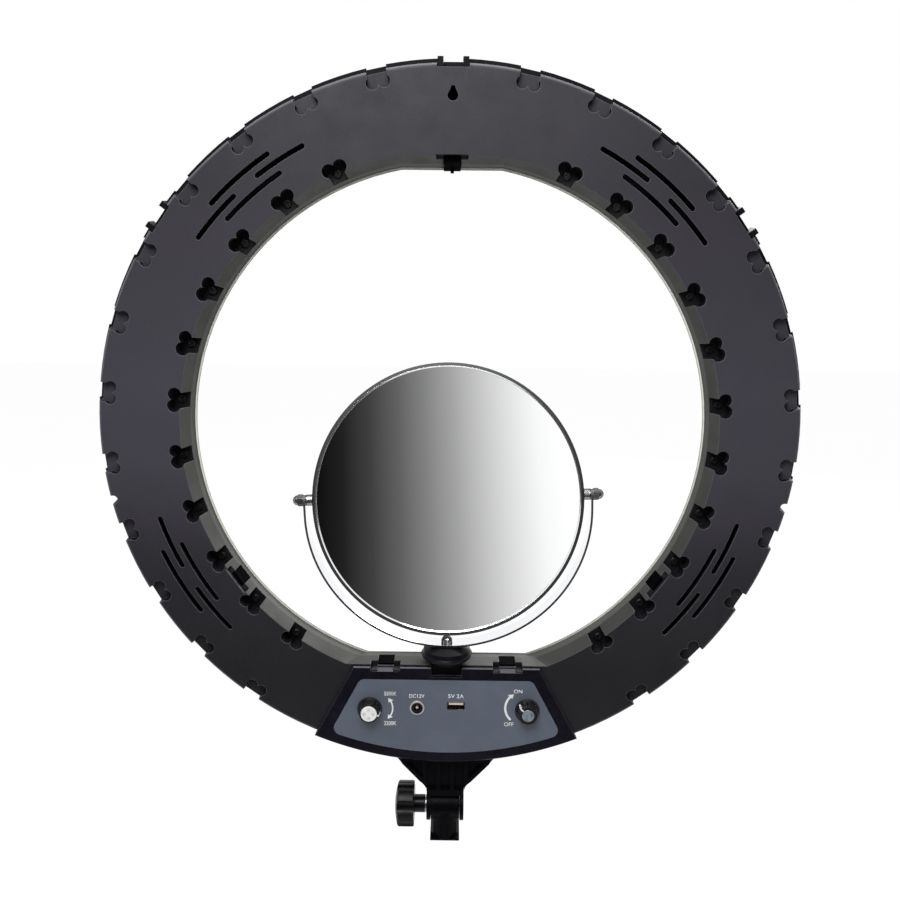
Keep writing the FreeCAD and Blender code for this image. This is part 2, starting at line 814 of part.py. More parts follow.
def cover_screws():
    screws = []
    head_start = well_depth - cover_screw_head_height
    for angle in well_angles:
        head = rod(cover_screw_head, 0.0, screw_circle, head_start, well_depth)
        top = [edge for edge in head.Edges if abs(edge.BoundBox.YMax - (back_y + head_start)) < 1e-6]
        head = head.makeFillet(0.9, top[:1])
        slot = block(-0.4, 0.4, head_start - 1.0, head_start + 1.0, screw_circle - 2.0, screw_circle + 2.0)
        cross = block(-2.0, 2.0, head_start - 1.0, head_start + 1.0, screw_circle - 0.4, screw_circle + 0.4)
        shank = rod(cover_screw_radius, 0.0, screw_circle, well_depth, well_depth + cover_screw_grip)
        screws.append(turned(one(head.fuse(shank).cut([slot, cross])), angle))
    return screws


# Light engine

def led_board():
    end = board_start + board_thickness
    ring = rod(board_outer, 0.0, 0.0, board_start, end)
    return one(ring.cut(rod(board_inner, 0.0, 0.0, board_start - 1.0, end + 1.0)))


def led_chips(first_row):
    """Every second row of chips, beginning with the given one."""
    chips = []
    start = board_start + board_thickness
    for row in range(first_row, len(chip_rows), 2):
        radius = board_inner + chip_rows[row]
        for step in range(chips_per_row):
            angle = 360.0 * (step + 0.5 * (row % 2)) / chips_per_row
            chip = block(-chip_width / 2.0, chip_width / 2.0, start, start + chip_rise,
                         radius - chip_height / 2.0, radius + chip_height / 2.0)
            chips.append(turned(chip, angle))
    return chips


# Control panel

def panel_holes(d0, d1):
    holes = [rod(pot_bush_radius + screw_gap, x, -control_drop, d0, d1) for x in (temperature_x, brightness_x)]
    holes.append(rod(jack_bush_radius + screw_gap, jack_x, -jack_drop, d0, d1))
    half_w = usb_width / 2.0 + label_gap
    half_h = usb_height / 2.0 + label_gap
    holes.append(block(usb_x - half_w, usb_x + half_w, d0, d1, -usb_drop - half_h, -usb_drop + half_h))
    return holes


def label_solid(grow, d0, d1):
    outline = panel_outline(label_top_inset - grow, label_side_inset - grow, label_arc_inset - grow)
    solid = prism(outline, d0, d1)
    corners = [edge for edge in solid.Edges
               if abs(edge.BoundBox.YMax - edge.BoundBox.YMin - (d1 - d0)) < 1e-6]
    return solid.makeFillet(label_round, corners)


def control_panel():
    plate = prism(panel_outline(panel_top_gap, 0.0, 0.0), -panel_rise, 0.0)
    back_edges = [edge for edge in plate.Edges if abs(edge.BoundBox.YMax - (back_y - panel_rise)) < 1e-6]
    plate = plate.makeChamfer(panel_bevel, back_edges)
    skirt = prism(panel_outline(panel_skirt_top(), 0.0, 0.0), 0.0, panel_skirt)
    skirt = skirt.cut(outer_form(0.0, -1.0, cover_depth))
    half = notch_width / 2.0
    cuts = [label_solid(label_gap, -panel_rise - 1.0, -panel_rise + label_recess)]
    cuts += panel_holes(-panel_rise - 1.0, 1.0)
    cuts.append(block(-half, half, -panel_rise - 1.0, 1.0, -notch_bottom, -bottom_flat + 8.0))
    for side in (-1.0, 1.0):
        outer_half = clip_notch_width / 2.0
        shift = side * lower_clip_offset
        notch = block(shift - outer_half, shift + outer_half, -panel_rise - 1.0, 1.0,
                      -bottom_flat - lower_notch_reach, -bottom_flat + 8.0)
        cuts.append(notch.cut(clip_ramp(shift)))
    for x, height in panel_screw_spots():
        cuts.append(rod(panel_screw_radius + thread_gap, x, height, -1.8, 1.0))
    posts = []
    for x, height in driver_posts():
        posts.append(rod(driver_post_radius, x, height, -0.5, driver_start))
        cuts.append(rod(board_screw_radius + thread_gap, x, height, 3.0, driver_start + 1.0))
    return one(plate.fuse([skirt] + posts).cut(cuts))


def clip_ramp(shift):
    """The ramp in the middle of a clip's notch, which slopes down towards the back."""
    half = clip_window_width / 2.0 - clip_gap
    top = -bottom_flat - panel_top_gap - clip_ramp_drop
    low = -bottom_flat - lower_notch_reach
    corners = [
        place(shift - half, 0.0, low),
        place(shift - half, 0.0, top),
        place(shift - half, -panel_rise, low),
        place(shift - half, 0.0, low),
    ]
    return Part.Face(Part.makePolygon(corners)).extrude(lateral * 2.0 * half)


def panel_skirt_top():
    """The skirt is only the lowest part of the panel's outline."""
    return panel_side_drop - bottom_flat - 6.0


def driver_posts():
    spots = []
    for side in (-1.0, 1.0):
        spots.append((side * (driver_post_x - 12.0), -driver_top - 1.5))
        spots.append((side * driver_post_x, -driver_bottom + 8.0))
    return spots


def panel_label():
    sheet = label_solid(0.0, -panel_rise + label_recess - label_thickness, -panel_rise + label_recess)
    return one(sheet.cut(panel_holes(-panel_rise - 2.0, 1.0)))


def panel_screws():
    screws = []
    for x, height in panel_screw_spots():
        head = rod(board_screw_head, x, height, back_plate, back_plate + board_screw_head_height)
        shank = rod(panel_screw_radius, x, height, -1.7, back_plate)
        screws.append(one(head.fuse(shank)))
    return screws


# Knobs and their pots

panel_face = -panel_rise + label_recess - label_thickness


def knob_places():
    start = panel_face - knob_lift
    return start, start - knob_height


def shaped_knob(x, pointer_angle, cap_radius):
    """A fluted knob with a skirt, bored for its shaft, with a groove for the pointer."""
    start, end = knob_places()
    skirt = cone(skirt_radius - skirt_taper, skirt_radius, x, -control_drop, start - skirt_height, start)
    body = cone(knob_top_radius, knob_radius, x, -control_drop, end, start - skirt_height / 2.0)
    knob = skirt.fuse(body)
    flutes = []
    for step in range(flute_count):
        angle = 2.0 * math.pi * step / flute_count
        reach = knob_radius + flute_outset
        flutes.append(rod(flute_radius, x + reach * math.sin(angle), -control_drop + reach * math.cos(angle),
                          end - 1.0, start - skirt_height))
    hollow = rod(pot_nut_flat * 0.62, x, -control_drop, start - pot_nut_height - 0.6, start + 1.0)
    bore = rod(pot_shaft_radius + shaft_gap, x, -control_drop, start - knob_height + 2.4, start + 1.0)
    knob = knob.cut(flutes + [hollow, bore])
    return one(knob.cut(pointer_bar(x, pointer_angle, cap_radius)))


def pointer_bar(x, angle, cap_radius):
    """The pointer line, a thin fin let into the knob from its cap down to its skirt."""
    start, end = knob_places()
    low = start - skirt_height
    outside = knob_radius + pointer_rise
    shoulder = knob_top_radius + pointer_rise
    inside = max(cap_radius + 0.2, pot_nut_flat * 0.62 + 0.3)
    edge = skirt_radius - skirt_taper - 0.2
    corners = [
        (end - 0.1, cap_radius + 0.2),
        (end - 0.1, shoulder),
        (low, outside),
        (low, edge),
        (low + pointer_depth, edge),
        (low + pointer_depth, inside),
        (end + pointer_depth, inside),
        (end + pointer_depth, cap_radius + 0.2),
    ]
    wire = Part.makePolygon([place(x - pointer_width / 2.0, depth, -control_drop + radius)
                             for depth, radius in corners + corners[:1]])
    fin = Part.Face(wire).extrude(lateral * pointer_width)
    fin.rotate(place(x, 0.0, -control_drop), deep, angle)
    return fin


def knob_cap(x, radius):
    _, end = knob_places()
    cap = rod(radius, x, -control_drop, end - cap_rise, end)
    rim = [edge for edge in cap.Edges if abs(edge.BoundBox.YMax - (back_y + end - cap_rise)) < 1e-6]
    return cap.makeFillet(cap_rise * 0.6, rim[:1])


def pot_body(x):
    """A rotary control: a can behind the panel and a bush through it."""
    can = rod(pot_radius, x, -control_drop, 0.0, pot_length)
    legs = [block(x + shift - 0.5, x + shift + 0.5, pot_length - 2.0, pot_length + 2.8,
                  -control_drop - pot_radius - 2.4, -control_drop - pot_radius + 0.6) for shift in (-5.0, 0.0, 5.0)]
    bush = rod(pot_bush_radius, x, -control_drop, panel_face - pot_nut_height, 0.0)
    bore = rod(pot_shaft_radius + shaft_gap, x, -control_drop, panel_face - pot_nut_height - 1.0, 3.0)
    return one(can.fuse([bush] + legs).cut(bore))


def pot_shaft(x):
    start, _ = knob_places()
    return rod(pot_shaft_radius, x, -control_drop, start - knob_height + 2.6, 2.8)


def pot_nut(x):
    nut = hexagon(pot_nut_flat, place(x, panel_face - pot_nut_height, -control_drop), deep, pot_nut_height - 0.1)
    return one(nut.cut(rod(pot_bush_radius + thread_gap, x, -control_drop, panel_face - 5.0, 0.0)))


# Sockets on the panel

def dc_jack_body():
    half = jack_body_width / 2.0
    body = block(jack_x - half, jack_x + half, 0.0, driver_start, -jack_drop - half, -jack_drop + half)
    bush = rod(jack_bush_radius, jack_x, -jack_drop, panel_face - 1.6, 0.0)
    mouth = panel_face - 1.6
    bore = rod(jack_bore_radius, jack_x, -jack_drop, mouth - 1.0, mouth + jack_bore_depth)
    return one(body.fuse(bush).cut(bore))


def dc_jack_pin():
    mouth = panel_face - 1.6
    pin = rod(jack_pin_radius, jack_x, -jack_drop, mouth + 0.8, mouth + jack_bore_depth)
    tip = [edge for edge in pin.Edges if abs(edge.BoundBox.YMax - (back_y + mouth + 0.8)) < 1e-6]
    return pin.makeFillet(0.6, tip[:1])


def dc_jack_nut():
    nut = rod(jack_nut_radius, jack_x, -jack_drop, panel_face - 1.5, panel_face)
    edge = [item for item in nut.Edges if abs(item.BoundBox.YMax - (back_y + panel_face - 1.5)) < 1e-6]
    nut = nut.makeFillet(0.5, edge[:1])
    return one(nut.cut(rod(jack_bush_radius + thread_gap, jack_x, -jack_drop, panel_face - 3.0, 1.0)))


def usb_shell():
    half_w = usb_width / 2.0
    half_h = usb_height / 2.0
    outer = block(usb_x - half_w, usb_x + half_w, panel_face - 0.2, driver_start,
                  -usb_drop - half_h, -usb_drop + half_h)
    inner = block(usb_x - half_w + usb_wall, usb_x + half_w - usb_wall, panel_face - 1.0, driver_start - 1.6,
                  -usb_drop - half_h + usb_wall, -usb_drop + half_h - usb_wall)
    return one(outer.cut(inner))


def usb_tongue():
    half = usb_tongue_width / 2.0
    top = -usb_drop + usb_height / 2.0 - usb_wall - 0.3
    return block(usb_x - half, usb_x + half, panel_face + 0.8, driver_start - 1.6,
                 top - usb_tongue_thickness, top)


# Driver electronics

def driver_board():
    end = driver_start + driver_thickness
    board = prism([(-driver_half + 14.0, -driver_top + 3.0), (driver_half - 14.0, -driver_top + 3.0),
                   (driver_half, -driver_bottom), (-driver_half, -driver_bottom)], driver_start, end)
    holes = [rod(board_screw_radius + screw_gap, x, height, driver_start - 1.0, end + 1.0)
             for x, height in driver_posts()]
    return one(board.cut(holes))


def board_screws():
    screws = []
    end = driver_start + driver_thickness
    for x, height in driver_posts():
        head = rod(board_screw_head, x, height, end, end + board_screw_head_height)
        shank = rod(board_screw_radius, x, height, end - 6.0, end)
        screws.append(one(head.fuse(shank)))
    return screws


def driver_components():
    """Coil, capacitors, two switching transistors and a controller on the board's back."""
    middle = -(driver_top + driver_bottom) / 2.0
    low = 2.5 - driver_bottom
    coil = rod(5.5, 30.0, middle, driver_start - 6.0, driver_start)
    parts = [one(coil.cut(rod(2.2, 30.0, middle, driver_start - 7.0, driver_start - 1.0)))]
    for x, rise, radius, length in ((-42.0, 12.0, 3.2, 7.5), (-38.0, -7.0, 4.0, 8.0), (44.0, 11.5, 3.2, 7.5)):
        parts.append(rod(radius, x, middle + rise, driver_start - length, driver_start))
    for x in (18.0, 40.0):
        parts.append(block(x - 3.3, x + 3.3, driver_start - 2.3, driver_start, low, low + 6.2))
    parts.append(block(-10.0, -2.0, driver_start - 1.6, driver_start, low + 1.5, low + 7.5))
    return parts


def output_leads():
    """Two leads from the driver board up to the light board."""
    leads = []
    end = driver_start + driver_thickness
    for x in (-52.0, 52.0):
        leads.append(rod(lead_radius, x, -driver_top - 12.0, end, board_start))
    return leads


# Mounting arm

def arm_outline():
    """The arm seen from behind: a flared top that narrows to the width of the ears."""
    def spot(x, height):
        return place(x, 0.0, height)

    foot = tilt_height - ring_height
    inside = rim_radius - 26.2
    slope_x, neck_x = arm_slope_start[0], arm_slope_end[0]
    slope_top = rim_radius + arm_slope_start[1]
    slope_low = rim_radius + arm_slope_end[1]
    flare_drop = math.sqrt(outer_radius_at(axis_depth) ** 2 - arm_flare ** 2) + rim_drop + 1.2
    flare_x = (arm_flare + slope_x) / 2.0
    flare_mid = (flare_drop + slope_top) / 2.0 - 1.0
    right = [
        Part.makeLine(spot(arm_flare, -inside), spot(arm_flare, -flare_drop)),
        Part.Arc(spot(arm_flare, -flare_drop), spot(flare_x, -flare_mid), spot(slope_x, -slope_top)).toShape(),
        Part.makeLine(spot(slope_x, -slope_top), spot(neck_x, -slope_low)),
        Part.Arc(spot(neck_x, -slope_low), spot(neck_x - 4.2, -slope_low - 4.8),
                 spot(ear_outer, -slope_low - 10.8)).toShape(),
        Part.makeLine(spot(ear_outer, -slope_low - 10.8), spot(ear_outer, foot)),
    ]
    left = [mirrored(edge) for edge in right]
    joints = [
        Part.makeLine(spot(ear_outer, foot), spot(-ear_outer, foot)),
        Part.makeLine(spot(-arm_flare, -inside), spot(arm_flare, -inside)),
    ]
    return Part.Wire(Part.__sortEdges__(right + left + joints))


def mirrored(shape):
    """The same shape on the other side of the light's middle plane."""
    return shape.mirror(FreeCAD.Vector(0, 0, 0), lateral)


def mount_arm():
    near = axis_depth - arm_half_thickness
    far_side = axis_depth + arm_half_thickness
    body = prism(arm_outline(), near, far_side)
    ears = bar(ear_radius, -ear_outer, ear_outer, 0.0, tilt_height)
    slot_top = tilt_height + socket_knuckle + knuckle_gap
    body = body.fuse(ears)
    top = -rim_radius - arm_recess_top
    low = -rim_radius - arm_recess_end
    cuts = [outer_form(0.0, -1.0, cover_depth)]
    cuts.append(Part.makeBox(2.0 * ear_inner, 60.0, slot_top, FreeCAD.Vector(-ear_inner, -30.0, 0.0)))
    for column in range(-1, 2):
        middle = column * arm_rib_pitch
        half = arm_rib_pitch / 2.0 - arm_rib_half
        for d0, d1 in ((near - 1.0, near + arm_recess), (far_side - arm_recess, far_side + 1.0)):
            cuts.append(block(middle - half, middle + half, d0, d1, low, top))
    for side in (-1.0, 1.0):
        inner = side * (1.5 * arm_rib_pitch + arm_rib_half)
        outer = [(inner, top), (side * arm_wing_reach, top), (inner, low + 9.6)]
        cuts.append(prism(outer, near - 1.0, near + arm_recess))
        cuts.append(prism(outer, far_side - arm_recess, far_side + 1.0))
    for x in arm_screw_places:
        cuts.append(pole(arm_screw_radius + thread_gap, x, 0.0, arm_seat(x) - arm_screw_length - 1.0, ring_height))
    cuts.append(bar(bolt_radius + bolt_gap, -ear_outer - 1.0, ear_outer + 1.0, 0.0, tilt_height))
    nut_start = FreeCAD.Vector(ear_outer - nut_recess, 0.0, tilt_height)
    cuts.append(hexagon(nut_flat + 0.2, nut_start, lateral, 3.0))
    return one(body.cut(cuts))


def arm_screws():
    screws = []
    for x in arm_screw_places:
        seat = arm_seat(x)
        head = pole(arm_screw_head, x, 0.0, seat, seat + arm_screw_head_height)
        shank = pole(arm_screw_radius, x, 0.0, seat - arm_screw_length, seat)
        screws.append(one(head.fuse(shank)))
    return screws


# Stand socket and its lock

def stand_socket():
    body = pole(socket_radius, 0.0, 0.0, 0.0, tilt_height)
    plate = Part.makeBox(2.0 * socket_plate_half, 2.0 * socket_plate_half, socket_plate_thickness,
                         FreeCAD.Vector(-socket_plate_half, -socket_plate_half, 0.0))
    plate = plate.makeFillet(0.8, [edge for edge in plate.Edges
                                   if edge.BoundBox.ZMax - edge.BoundBox.ZMin > socket_plate_thickness / 2.0])
    knuckle = bar(socket_knuckle, -socket_radius, socket_radius, 0.0, tilt_height)
    cuts = []
    for step in range(socket_flute_count):
        turn = 2.0 * math.pi * (step + 0.5) / socket_flute_count
        reach = socket_radius + socket_flute_radius * 0.35
        cuts.append(pole(socket_flute_radius, reach * math.cos(turn), reach * math.sin(turn),
                         socket_flute_start, socket_flute_end))
    cuts.append(pole(socket_bore_radius, 0.0, 0.0, -1.0, socket_bore_depth))
    cuts.append(bar(bolt_radius + bolt_gap, -socket_radius - 1.0, socket_radius + 1.0, 0.0, tilt_height))
    cuts.append(lock_rod(lock_screw_radius + bolt_gap, 0.0, socket_radius + 4.0))
    pad = lock_rod(5.2, socket_bore_radius + 1.0, socket_radius + 1.6)
    return one(body.fuse([plate, knuckle, pad]).cut(cuts))


def lock_rod(radius, y0, y1):
    return Part.makeCylinder(radius, y1 - y0, FreeCAD.Vector(0.0, y0, lock_height), deep)


def lock_screw():
    return lock_rod(lock_screw_radius, socket_bore_radius + 0.4, lock_knob_start + lock_knob_length - 1.5)


def lock_knob():
    end = lock_knob_start + lock_knob_length
    knob = lock_rod(lock_knob_radius, lock_knob_start, end)
    cuts = [lock_rod(lock_screw_radius, lock_knob_start - 1.0, end - 1.5)]
    for step in range(lock_lobes):
        turn = 2.0 * math.pi * step / lock_lobes
        x = (lock_knob_radius + 1.6) * math.cos(turn)
        z = lock_height + (lock_knob_radius + 1.6) * math.sin(turn)
        cuts.append(Part.makeCylinder(2.8, lock_knob_length + 2.0, FreeCAD.Vector(x, lock_knob_start - 1.0, z), deep))
    return one(knob.cut(cuts))


# Tilt clamp

def tilt_bolt():
    return bar(bolt_radius, -tilt_knob_outer + tilt_knob_cover, ear_outer - 0.1, 0.0, tilt_height)


def tilt_nut():
    start = FreeCAD.Vector(ear_outer - nut_recess + 0.1, 0.0, tilt_height)
    nut = hexagon(nut_flat, start, lateral, nut_height)
    return one(nut.cut(bar(bolt_radius + thread_gap, 0.0, 60.0, 0.0, tilt_height)))


def tilt_washer():
    ring = bar(washer_radius, -ear_outer - washer_thickness, -ear_outer, 0.0, tilt_height)
    return one(ring.cut(bar(bolt_radius + bolt_gap, -60.0, 0.0, 0.0, tilt_height)))


def tilt_knob():
    """A lobed hand knob on a collar, with a slightly domed outer face."""
    axis_point = FreeCAD.Vector(0.0, 0.0, tilt_height)

    def spot(x, radius):
        return axis_point + lateral * x + up * radius

    dome_edge = -tilt_knob_outer + tilt_knob_dome
    collar_end = -ear_outer - washer_thickness - 0.3
    dome = Part.Arc(
        spot(-tilt_knob_outer, 0.0),
        spot(-tilt_knob_outer + 0.25 * tilt_knob_dome, 0.5 * tilt_knob_radius),
        spot(dome_edge, tilt_knob_radius - 1.0),
    ).toShape()
    corners = [
        spot(dome_edge, tilt_knob_radius - 1.0),
        spot(dome_edge + 1.0, tilt_knob_radius),
        spot(-tilt_knob_inner - 0.8, tilt_knob_radius),
        spot(-tilt_knob_inner, tilt_knob_radius - 0.8),
        spot(-tilt_knob_inner, tilt_collar_radius),
        spot(collar_end, tilt_collar_radius),
        spot(collar_end, 0.0),
        spot(-tilt_knob_outer, 0.0),
    ]
    outline = Part.Wire([dome] + Part.makePolygon(corners).Edges)
    knob = Part.Face(outline).revolve(axis_point, lateral, 360)
    cuts = [bar(bolt_radius, -tilt_knob_outer + tilt_knob_cover, 0.0, 0.0, tilt_height)]
    for step in range(tilt_knob_lobes):
        turn = 2.0 * math.pi * (step + 0.65) / tilt_knob_lobes
        reach = tilt_knob_radius + 0.55 * scallop_radius
        y = reach * math.cos(turn)
        z = tilt_height + reach * math.sin(turn)
        cuts.append(bar(scallop_radius, -tilt_knob_outer - 1.0, -tilt_knob_inner + 1.0, y, z))
    return one(knob.cut(cuts))


# Mirror and its yoke

def pivot():
    return place(0.0, mirror_depth, -pivot_drop)


def revolve_about_depth(points, centre):
    """A ring turned about the depth axis from (radius, depth) corners."""
    corners = [centre + FreeCAD.Vector(radius, depth, 0.0) for radius, depth in points + points[:1]]
    face = Part.Face(Part.makePolygon(corners))
    return face.revolve(centre, deep, 360)


def leaning(shape):
    """Turns a piece of the mirror or its yoke about the yoke's centre."""
    copy = shape.copy()
    copy.rotate(place(0.0, 0.0, -yoke_centre_drop), deep, -mirror_lean)
    return copy


def tilted(shape):
    copy = shape.copy()
    copy.rotate(pivot(), lateral, mirror_tilt)
    return leaning(copy)


def mirror_frame():
    half = mirror_thickness / 2.0
    inside = mirror_radius - frame_wall
    lip = mirror_radius - frame_lip
    points = [
        (mirror_radius, -half + frame_bevel_depth), (lip + frame_slope, -half),
        (lip, -half + frame_slope_depth), (lip, -half + frame_wall), (inside, -half + frame_wall),
        (inside, half - frame_wall), (lip, half - frame_wall), (lip, half - frame_slope_depth),
        (lip + frame_slope, half), (mirror_radius, half - frame_bevel_depth),
    ]
    ring = revolve_about_depth(points, pivot())
    for side in (-1.0, 1.0):
        start = side * (mirror_radius - 2.0 * frame_wall)
        end = side * (mirror_radius + 1.0)
        hole = bar(pin_radius + thread_gap, min(start, end), max(start, end), pivot().y, pivot().z)
        ring = ring.cut(hole)
    return one(tilted(ring))


def glass_disc(side):
    half = mirror_thickness / 2.0 - frame_wall - glass_gap
    radius = mirror_radius - frame_wall - glass_gap
    start, end = sorted((side * half, side * (half - glass_thickness)))
    centre = pivot()
    disc = Part.makeCylinder(radius, end - start, centre + deep * start, deep)
    if side > 0:
        sag = magnifier_sag
        reach = radius - 1.4
        ball_radius = (reach ** 2 + sag ** 2) / (2.0 * sag)
        ball = Part.makeSphere(ball_radius, centre + deep * (end - sag + ball_radius))
        disc = disc.cut(ball)
    return one(tilted(disc))


def mirror_core():
    half = mirror_thickness / 2.0 - frame_wall - 2.0 * glass_gap - glass_thickness
    radius = mirror_radius - frame_wall - glass_gap
    return tilted(Part.makeCylinder(radius, 2.0 * half, pivot() - deep * half, deep))


def mirror_pins():
    pins = []
    for side in (-1.0, 1.0):
        start = side * (mirror_radius - frame_wall)
        end = side * (yoke_half_width + pivot_washer_thickness + cap_nut_height)
        pins.append(leaning(bar(pin_radius, min(start, end), max(start, end), pivot().y, pivot().z)))
    return pins


def pivot_spacers():
    spacers = []
    for side in (-1.0, 1.0):
        inner = mirror_radius + 0.05
        outer = yoke_half_width - yoke_thickness - spacer_gap
        x0, x1 = sorted((side * inner, side * outer))
        tube = bar(spacer_radius, x0, x1, pivot().y, pivot().z)
        bore = bar(pin_radius + thread_gap, x0 - 1.0, x1 + 1.0, pivot().y, pivot().z)
        spacers.append(leaning(one(tube.cut(bore))))
    return spacers


def pivot_washers():
    washers = []
    for side in (-1.0, 1.0):
        x0, x1 = sorted((side * (yoke_half_width + spacer_gap / 2.0),
                         side * (yoke_half_width + pivot_washer_thickness)))
        ring = bar(pivot_washer_radius, x0, x1, pivot().y, pivot().z)
        bore = bar(pin_radius + thread_gap, x0 - 1.0, x1 + 1.0, pivot().y, pivot().z)
        washers.append(leaning(one(ring.cut(bore))))
    return washers


def cap_nuts():
    nuts = []
    for side in (-1.0, 1.0):
        start = FreeCAD.Vector(side * (yoke_half_width + pivot_washer_thickness), pivot().y, pivot().z)
        axis = lateral * side
        nut = hexagon(cap_nut_flat, start, axis, cap_nut_height)
        dome = Part.makeSphere(cap_nut_dome, start + axis * cap_nut_height)
        behind = Part.makeCylinder(20.0, 20.0, start + axis * (cap_nut_height - 20.0), axis)
        dome = dome.cut(behind)
        small = cap_nut_flat * 0.53
        chamfer = Part.makeCone(small, small + cap_nut_height, cap_nut_height, start + axis * cap_nut_height,
                                axis * -1.0)
        nut = nut.common(chamfer)
        x0, x1 = sorted((start.x - side, start.x + side * cap_nut_height))
        bore = bar(pin_radius + thread_gap, x0, x1, pivot().y, pivot().z)
        nuts.append(leaning(one(nut.fuse(dome).cut(bore))))
    return nuts


def half_ellipse_edge(half_width, half_height):
    """The lower half of an ellipse about the yoke's centre, from -X to +X."""
    centre = place(0.0, 0.0, -yoke_centre_drop)
    right = centre + lateral * half_width
    top = centre + up * half_height
    ellipse = Part.Ellipse(right, top, centre)
    return Part.ArcOfEllipse(ellipse, math.pi, 2.0 * math.pi).toShape()


def mirror_yoke():
    tip = ring_height - pivot_drop + yoke_tip
    base = ring_height - yoke_centre_drop
    outer = half_ellipse_edge(yoke_half_width, yoke_half_height)
    inner = half_ellipse_edge(yoke_half_width - yoke_thickness, yoke_half_height - yoke_thickness)

    def spot(x, z):
        return FreeCAD.Vector(x, back_y, z)

    wide, narrow = yoke_half_width, yoke_half_width - yoke_thickness
    edges = [
        outer,
        Part.makeLine(spot(wide, base), spot(wide, tip)),
        Part.makeLine(spot(wide, tip), spot(narrow, tip)),
        Part.makeLine(spot(narrow, tip), spot(narrow, base)),
        inner,
        Part.makeLine(spot(-narrow, base), spot(-narrow, tip)),
        Part.makeLine(spot(-narrow, tip), spot(-wide, tip)),
        Part.makeLine(spot(-wide, tip), spot(-wide, base)),
    ]
    wire = Part.Wire(Part.__sortEdges__(edges))
    strap = Part.Face(wire).extrude(deep * yoke_band)
    strap.translate(deep * (mirror_depth - yoke_band / 2.0))
    corners = [edge for edge in strap.Edges
               if abs(edge.BoundBox.ZMax - tip) < 1e-6 and abs(edge.BoundBox.ZMin - tip) < 1e-6
               and edge.BoundBox.YMax - edge.BoundBox.YMin < 1e-6]
    strap = strap.makeFillet(yoke_band / 2.0 - 0.6, corners)
    strap = leaning(strap.cut(bar(pin_radius + pin_gap, -far, far, pivot().y, pivot().z)))
    hole = pole(base_screw_radius + pin_gap, 0.0, pivot().y, ring_height - base_disc_drop,
                ring_height - yoke_centre_drop)
    return one(strap.cut(hole))


def revolve_about_height(points):
    """A turned piece about the mirror's upright axis, from (radius, drop) corners."""
    axis_point = FreeCAD.Vector(0.0, pivot().y, 0.0)
    corners = [axis_point + FreeCAD.Vector(radius, 0.0, ring_height - drop) for radius, drop in points + points[:1]]
    return Part.Face(Part.makePolygon(corners)).revolve(axis_point, up, 360)


def yoke_bottom_drop():
    return yoke_centre_drop + yoke_half_height


def mirror_base():
    """A bowl under the yoke: a rounded shoulder, a broad rim and a tapered underside."""
    top = yoke_bottom_drop() + base_gap
    underside = bottom_edge() - base_gap - 0.2
    points = [
        (0.0, top), (base_top_radius, top), (base_shoulder_radius, top + 2.2),
        (base_disc_radius - 1.2, base_disc_drop - 1.4), (base_disc_radius, base_disc_drop),
        (base_disc_radius - 0.6, base_disc_drop + 1.6), (cover_depth - mirror_depth, underside),
        (base_foot_radius, base_foot_drop), (0.0, base_foot_drop),
    ]
    bowl = revolve_about_height(points)
    hole = pole(base_screw_radius + thread_gap, 0.0, pivot().y, ring_height - base_foot_drop - 1.0,
                ring_height - top + 1.0)
    return one(bowl.cut(hole))


def mirror_foot():
    half = foot_width / 2.0
    foot = block(-half, half, foot_start, foot_end, -foot_bottom, -base_foot_drop)
    hole = pole(base_screw_radius + thread_gap, 0.0, pivot().y, ring_height - foot_bottom + 3.0, ring_height)
    return one(foot.cut(hole))


def base_screw():
    low = ring_height - foot_bottom + 3.2
    high = ring_height - yoke_bottom_drop() + yoke_thickness + 0.5 + dome_nut_height
    return pole(base_screw_radius, 0.0, pivot().y, low, high)


def dome_nut():
    """The polished nut that holds the yoke down on its bowl."""
    seat = ring_height - yoke_bottom_drop() + yoke_thickness + 0.3
    nut = pole(dome_nut_radius, 0.0, pivot().y, seat, seat + dome_nut_height)
    dome = Part.makeSphere(dome_nut_radius, FreeCAD.Vector(0.0, pivot().y, seat + dome_nut_height))
    low = pole(20.0, 0.0, pivot().y, seat - 20.0, seat + dome_nut_height)
    bore = pole(base_screw_radius + thread_gap, 0.0, pivot().y, seat - 1.0, seat + dome_nut_height + 0.4)
    return one(nut.fuse(dome.cut(low)).cut(bore))


save("rear_cover", rear_cover())
save("front_rim", front_rim())
save("diffuser", diffuser())
save("inner_clips", *inner_clips())
save("cover_screws", *cover_screws())
save("led_board", led_board())
save("daylight_leds", *led_chips(0))
save("warm_leds", *led_chips(1))
save("control_panel", control_panel())
save("panel_label", panel_label())
save("panel_screws", *panel_screws())
save("driver_board", driver_board())
save("driver_components", *driver_components())
save("board_screws", *board_screws())
save("output_leads", *output_leads())
save("temperature_pot", pot_body(temperature_x))
save("temperature_shaft", pot_shaft(temperature_x))
save("temperature_knob", shaped_knob(temperature_x, temperature_pointer_angle, temperature_cap_radius))
save("temperature_knob_cap", knob_cap(temperature_x, temperature_cap_radius))
save("temperature_pointer", pointer_bar(temperature_x, temperature_pointer_angle, temperature_cap_radius))
save("brightness_pot", pot_body(brightness_x))
save("brightness_shaft", pot_shaft(brightness_x))
save("brightness_knob", shaped_knob(brightness_x, brightness_pointer_angle, brightness_cap_radius))
save("brightness_knob_cap", knob_cap(brightness_x, brightness_cap_radius))
save("brightness_pointer", pointer_bar(brightness_x, brightness_pointer_angle, brightness_cap_radius))
save("pot_nuts", pot_nut(temperature_x), pot_nut(brightness_x))
save("dc_jack_body", dc_jack_body())
save("dc_jack_pin", dc_jack_pin())
save("dc_jack_nut", dc_jack_nut())
save("usb_shell", usb_shell())
save("usb_tongue", usb_tongue())
save("mount_arm", mount_arm())
save("arm_screws", *arm_screws())
save("stand_socket", stand_socket())
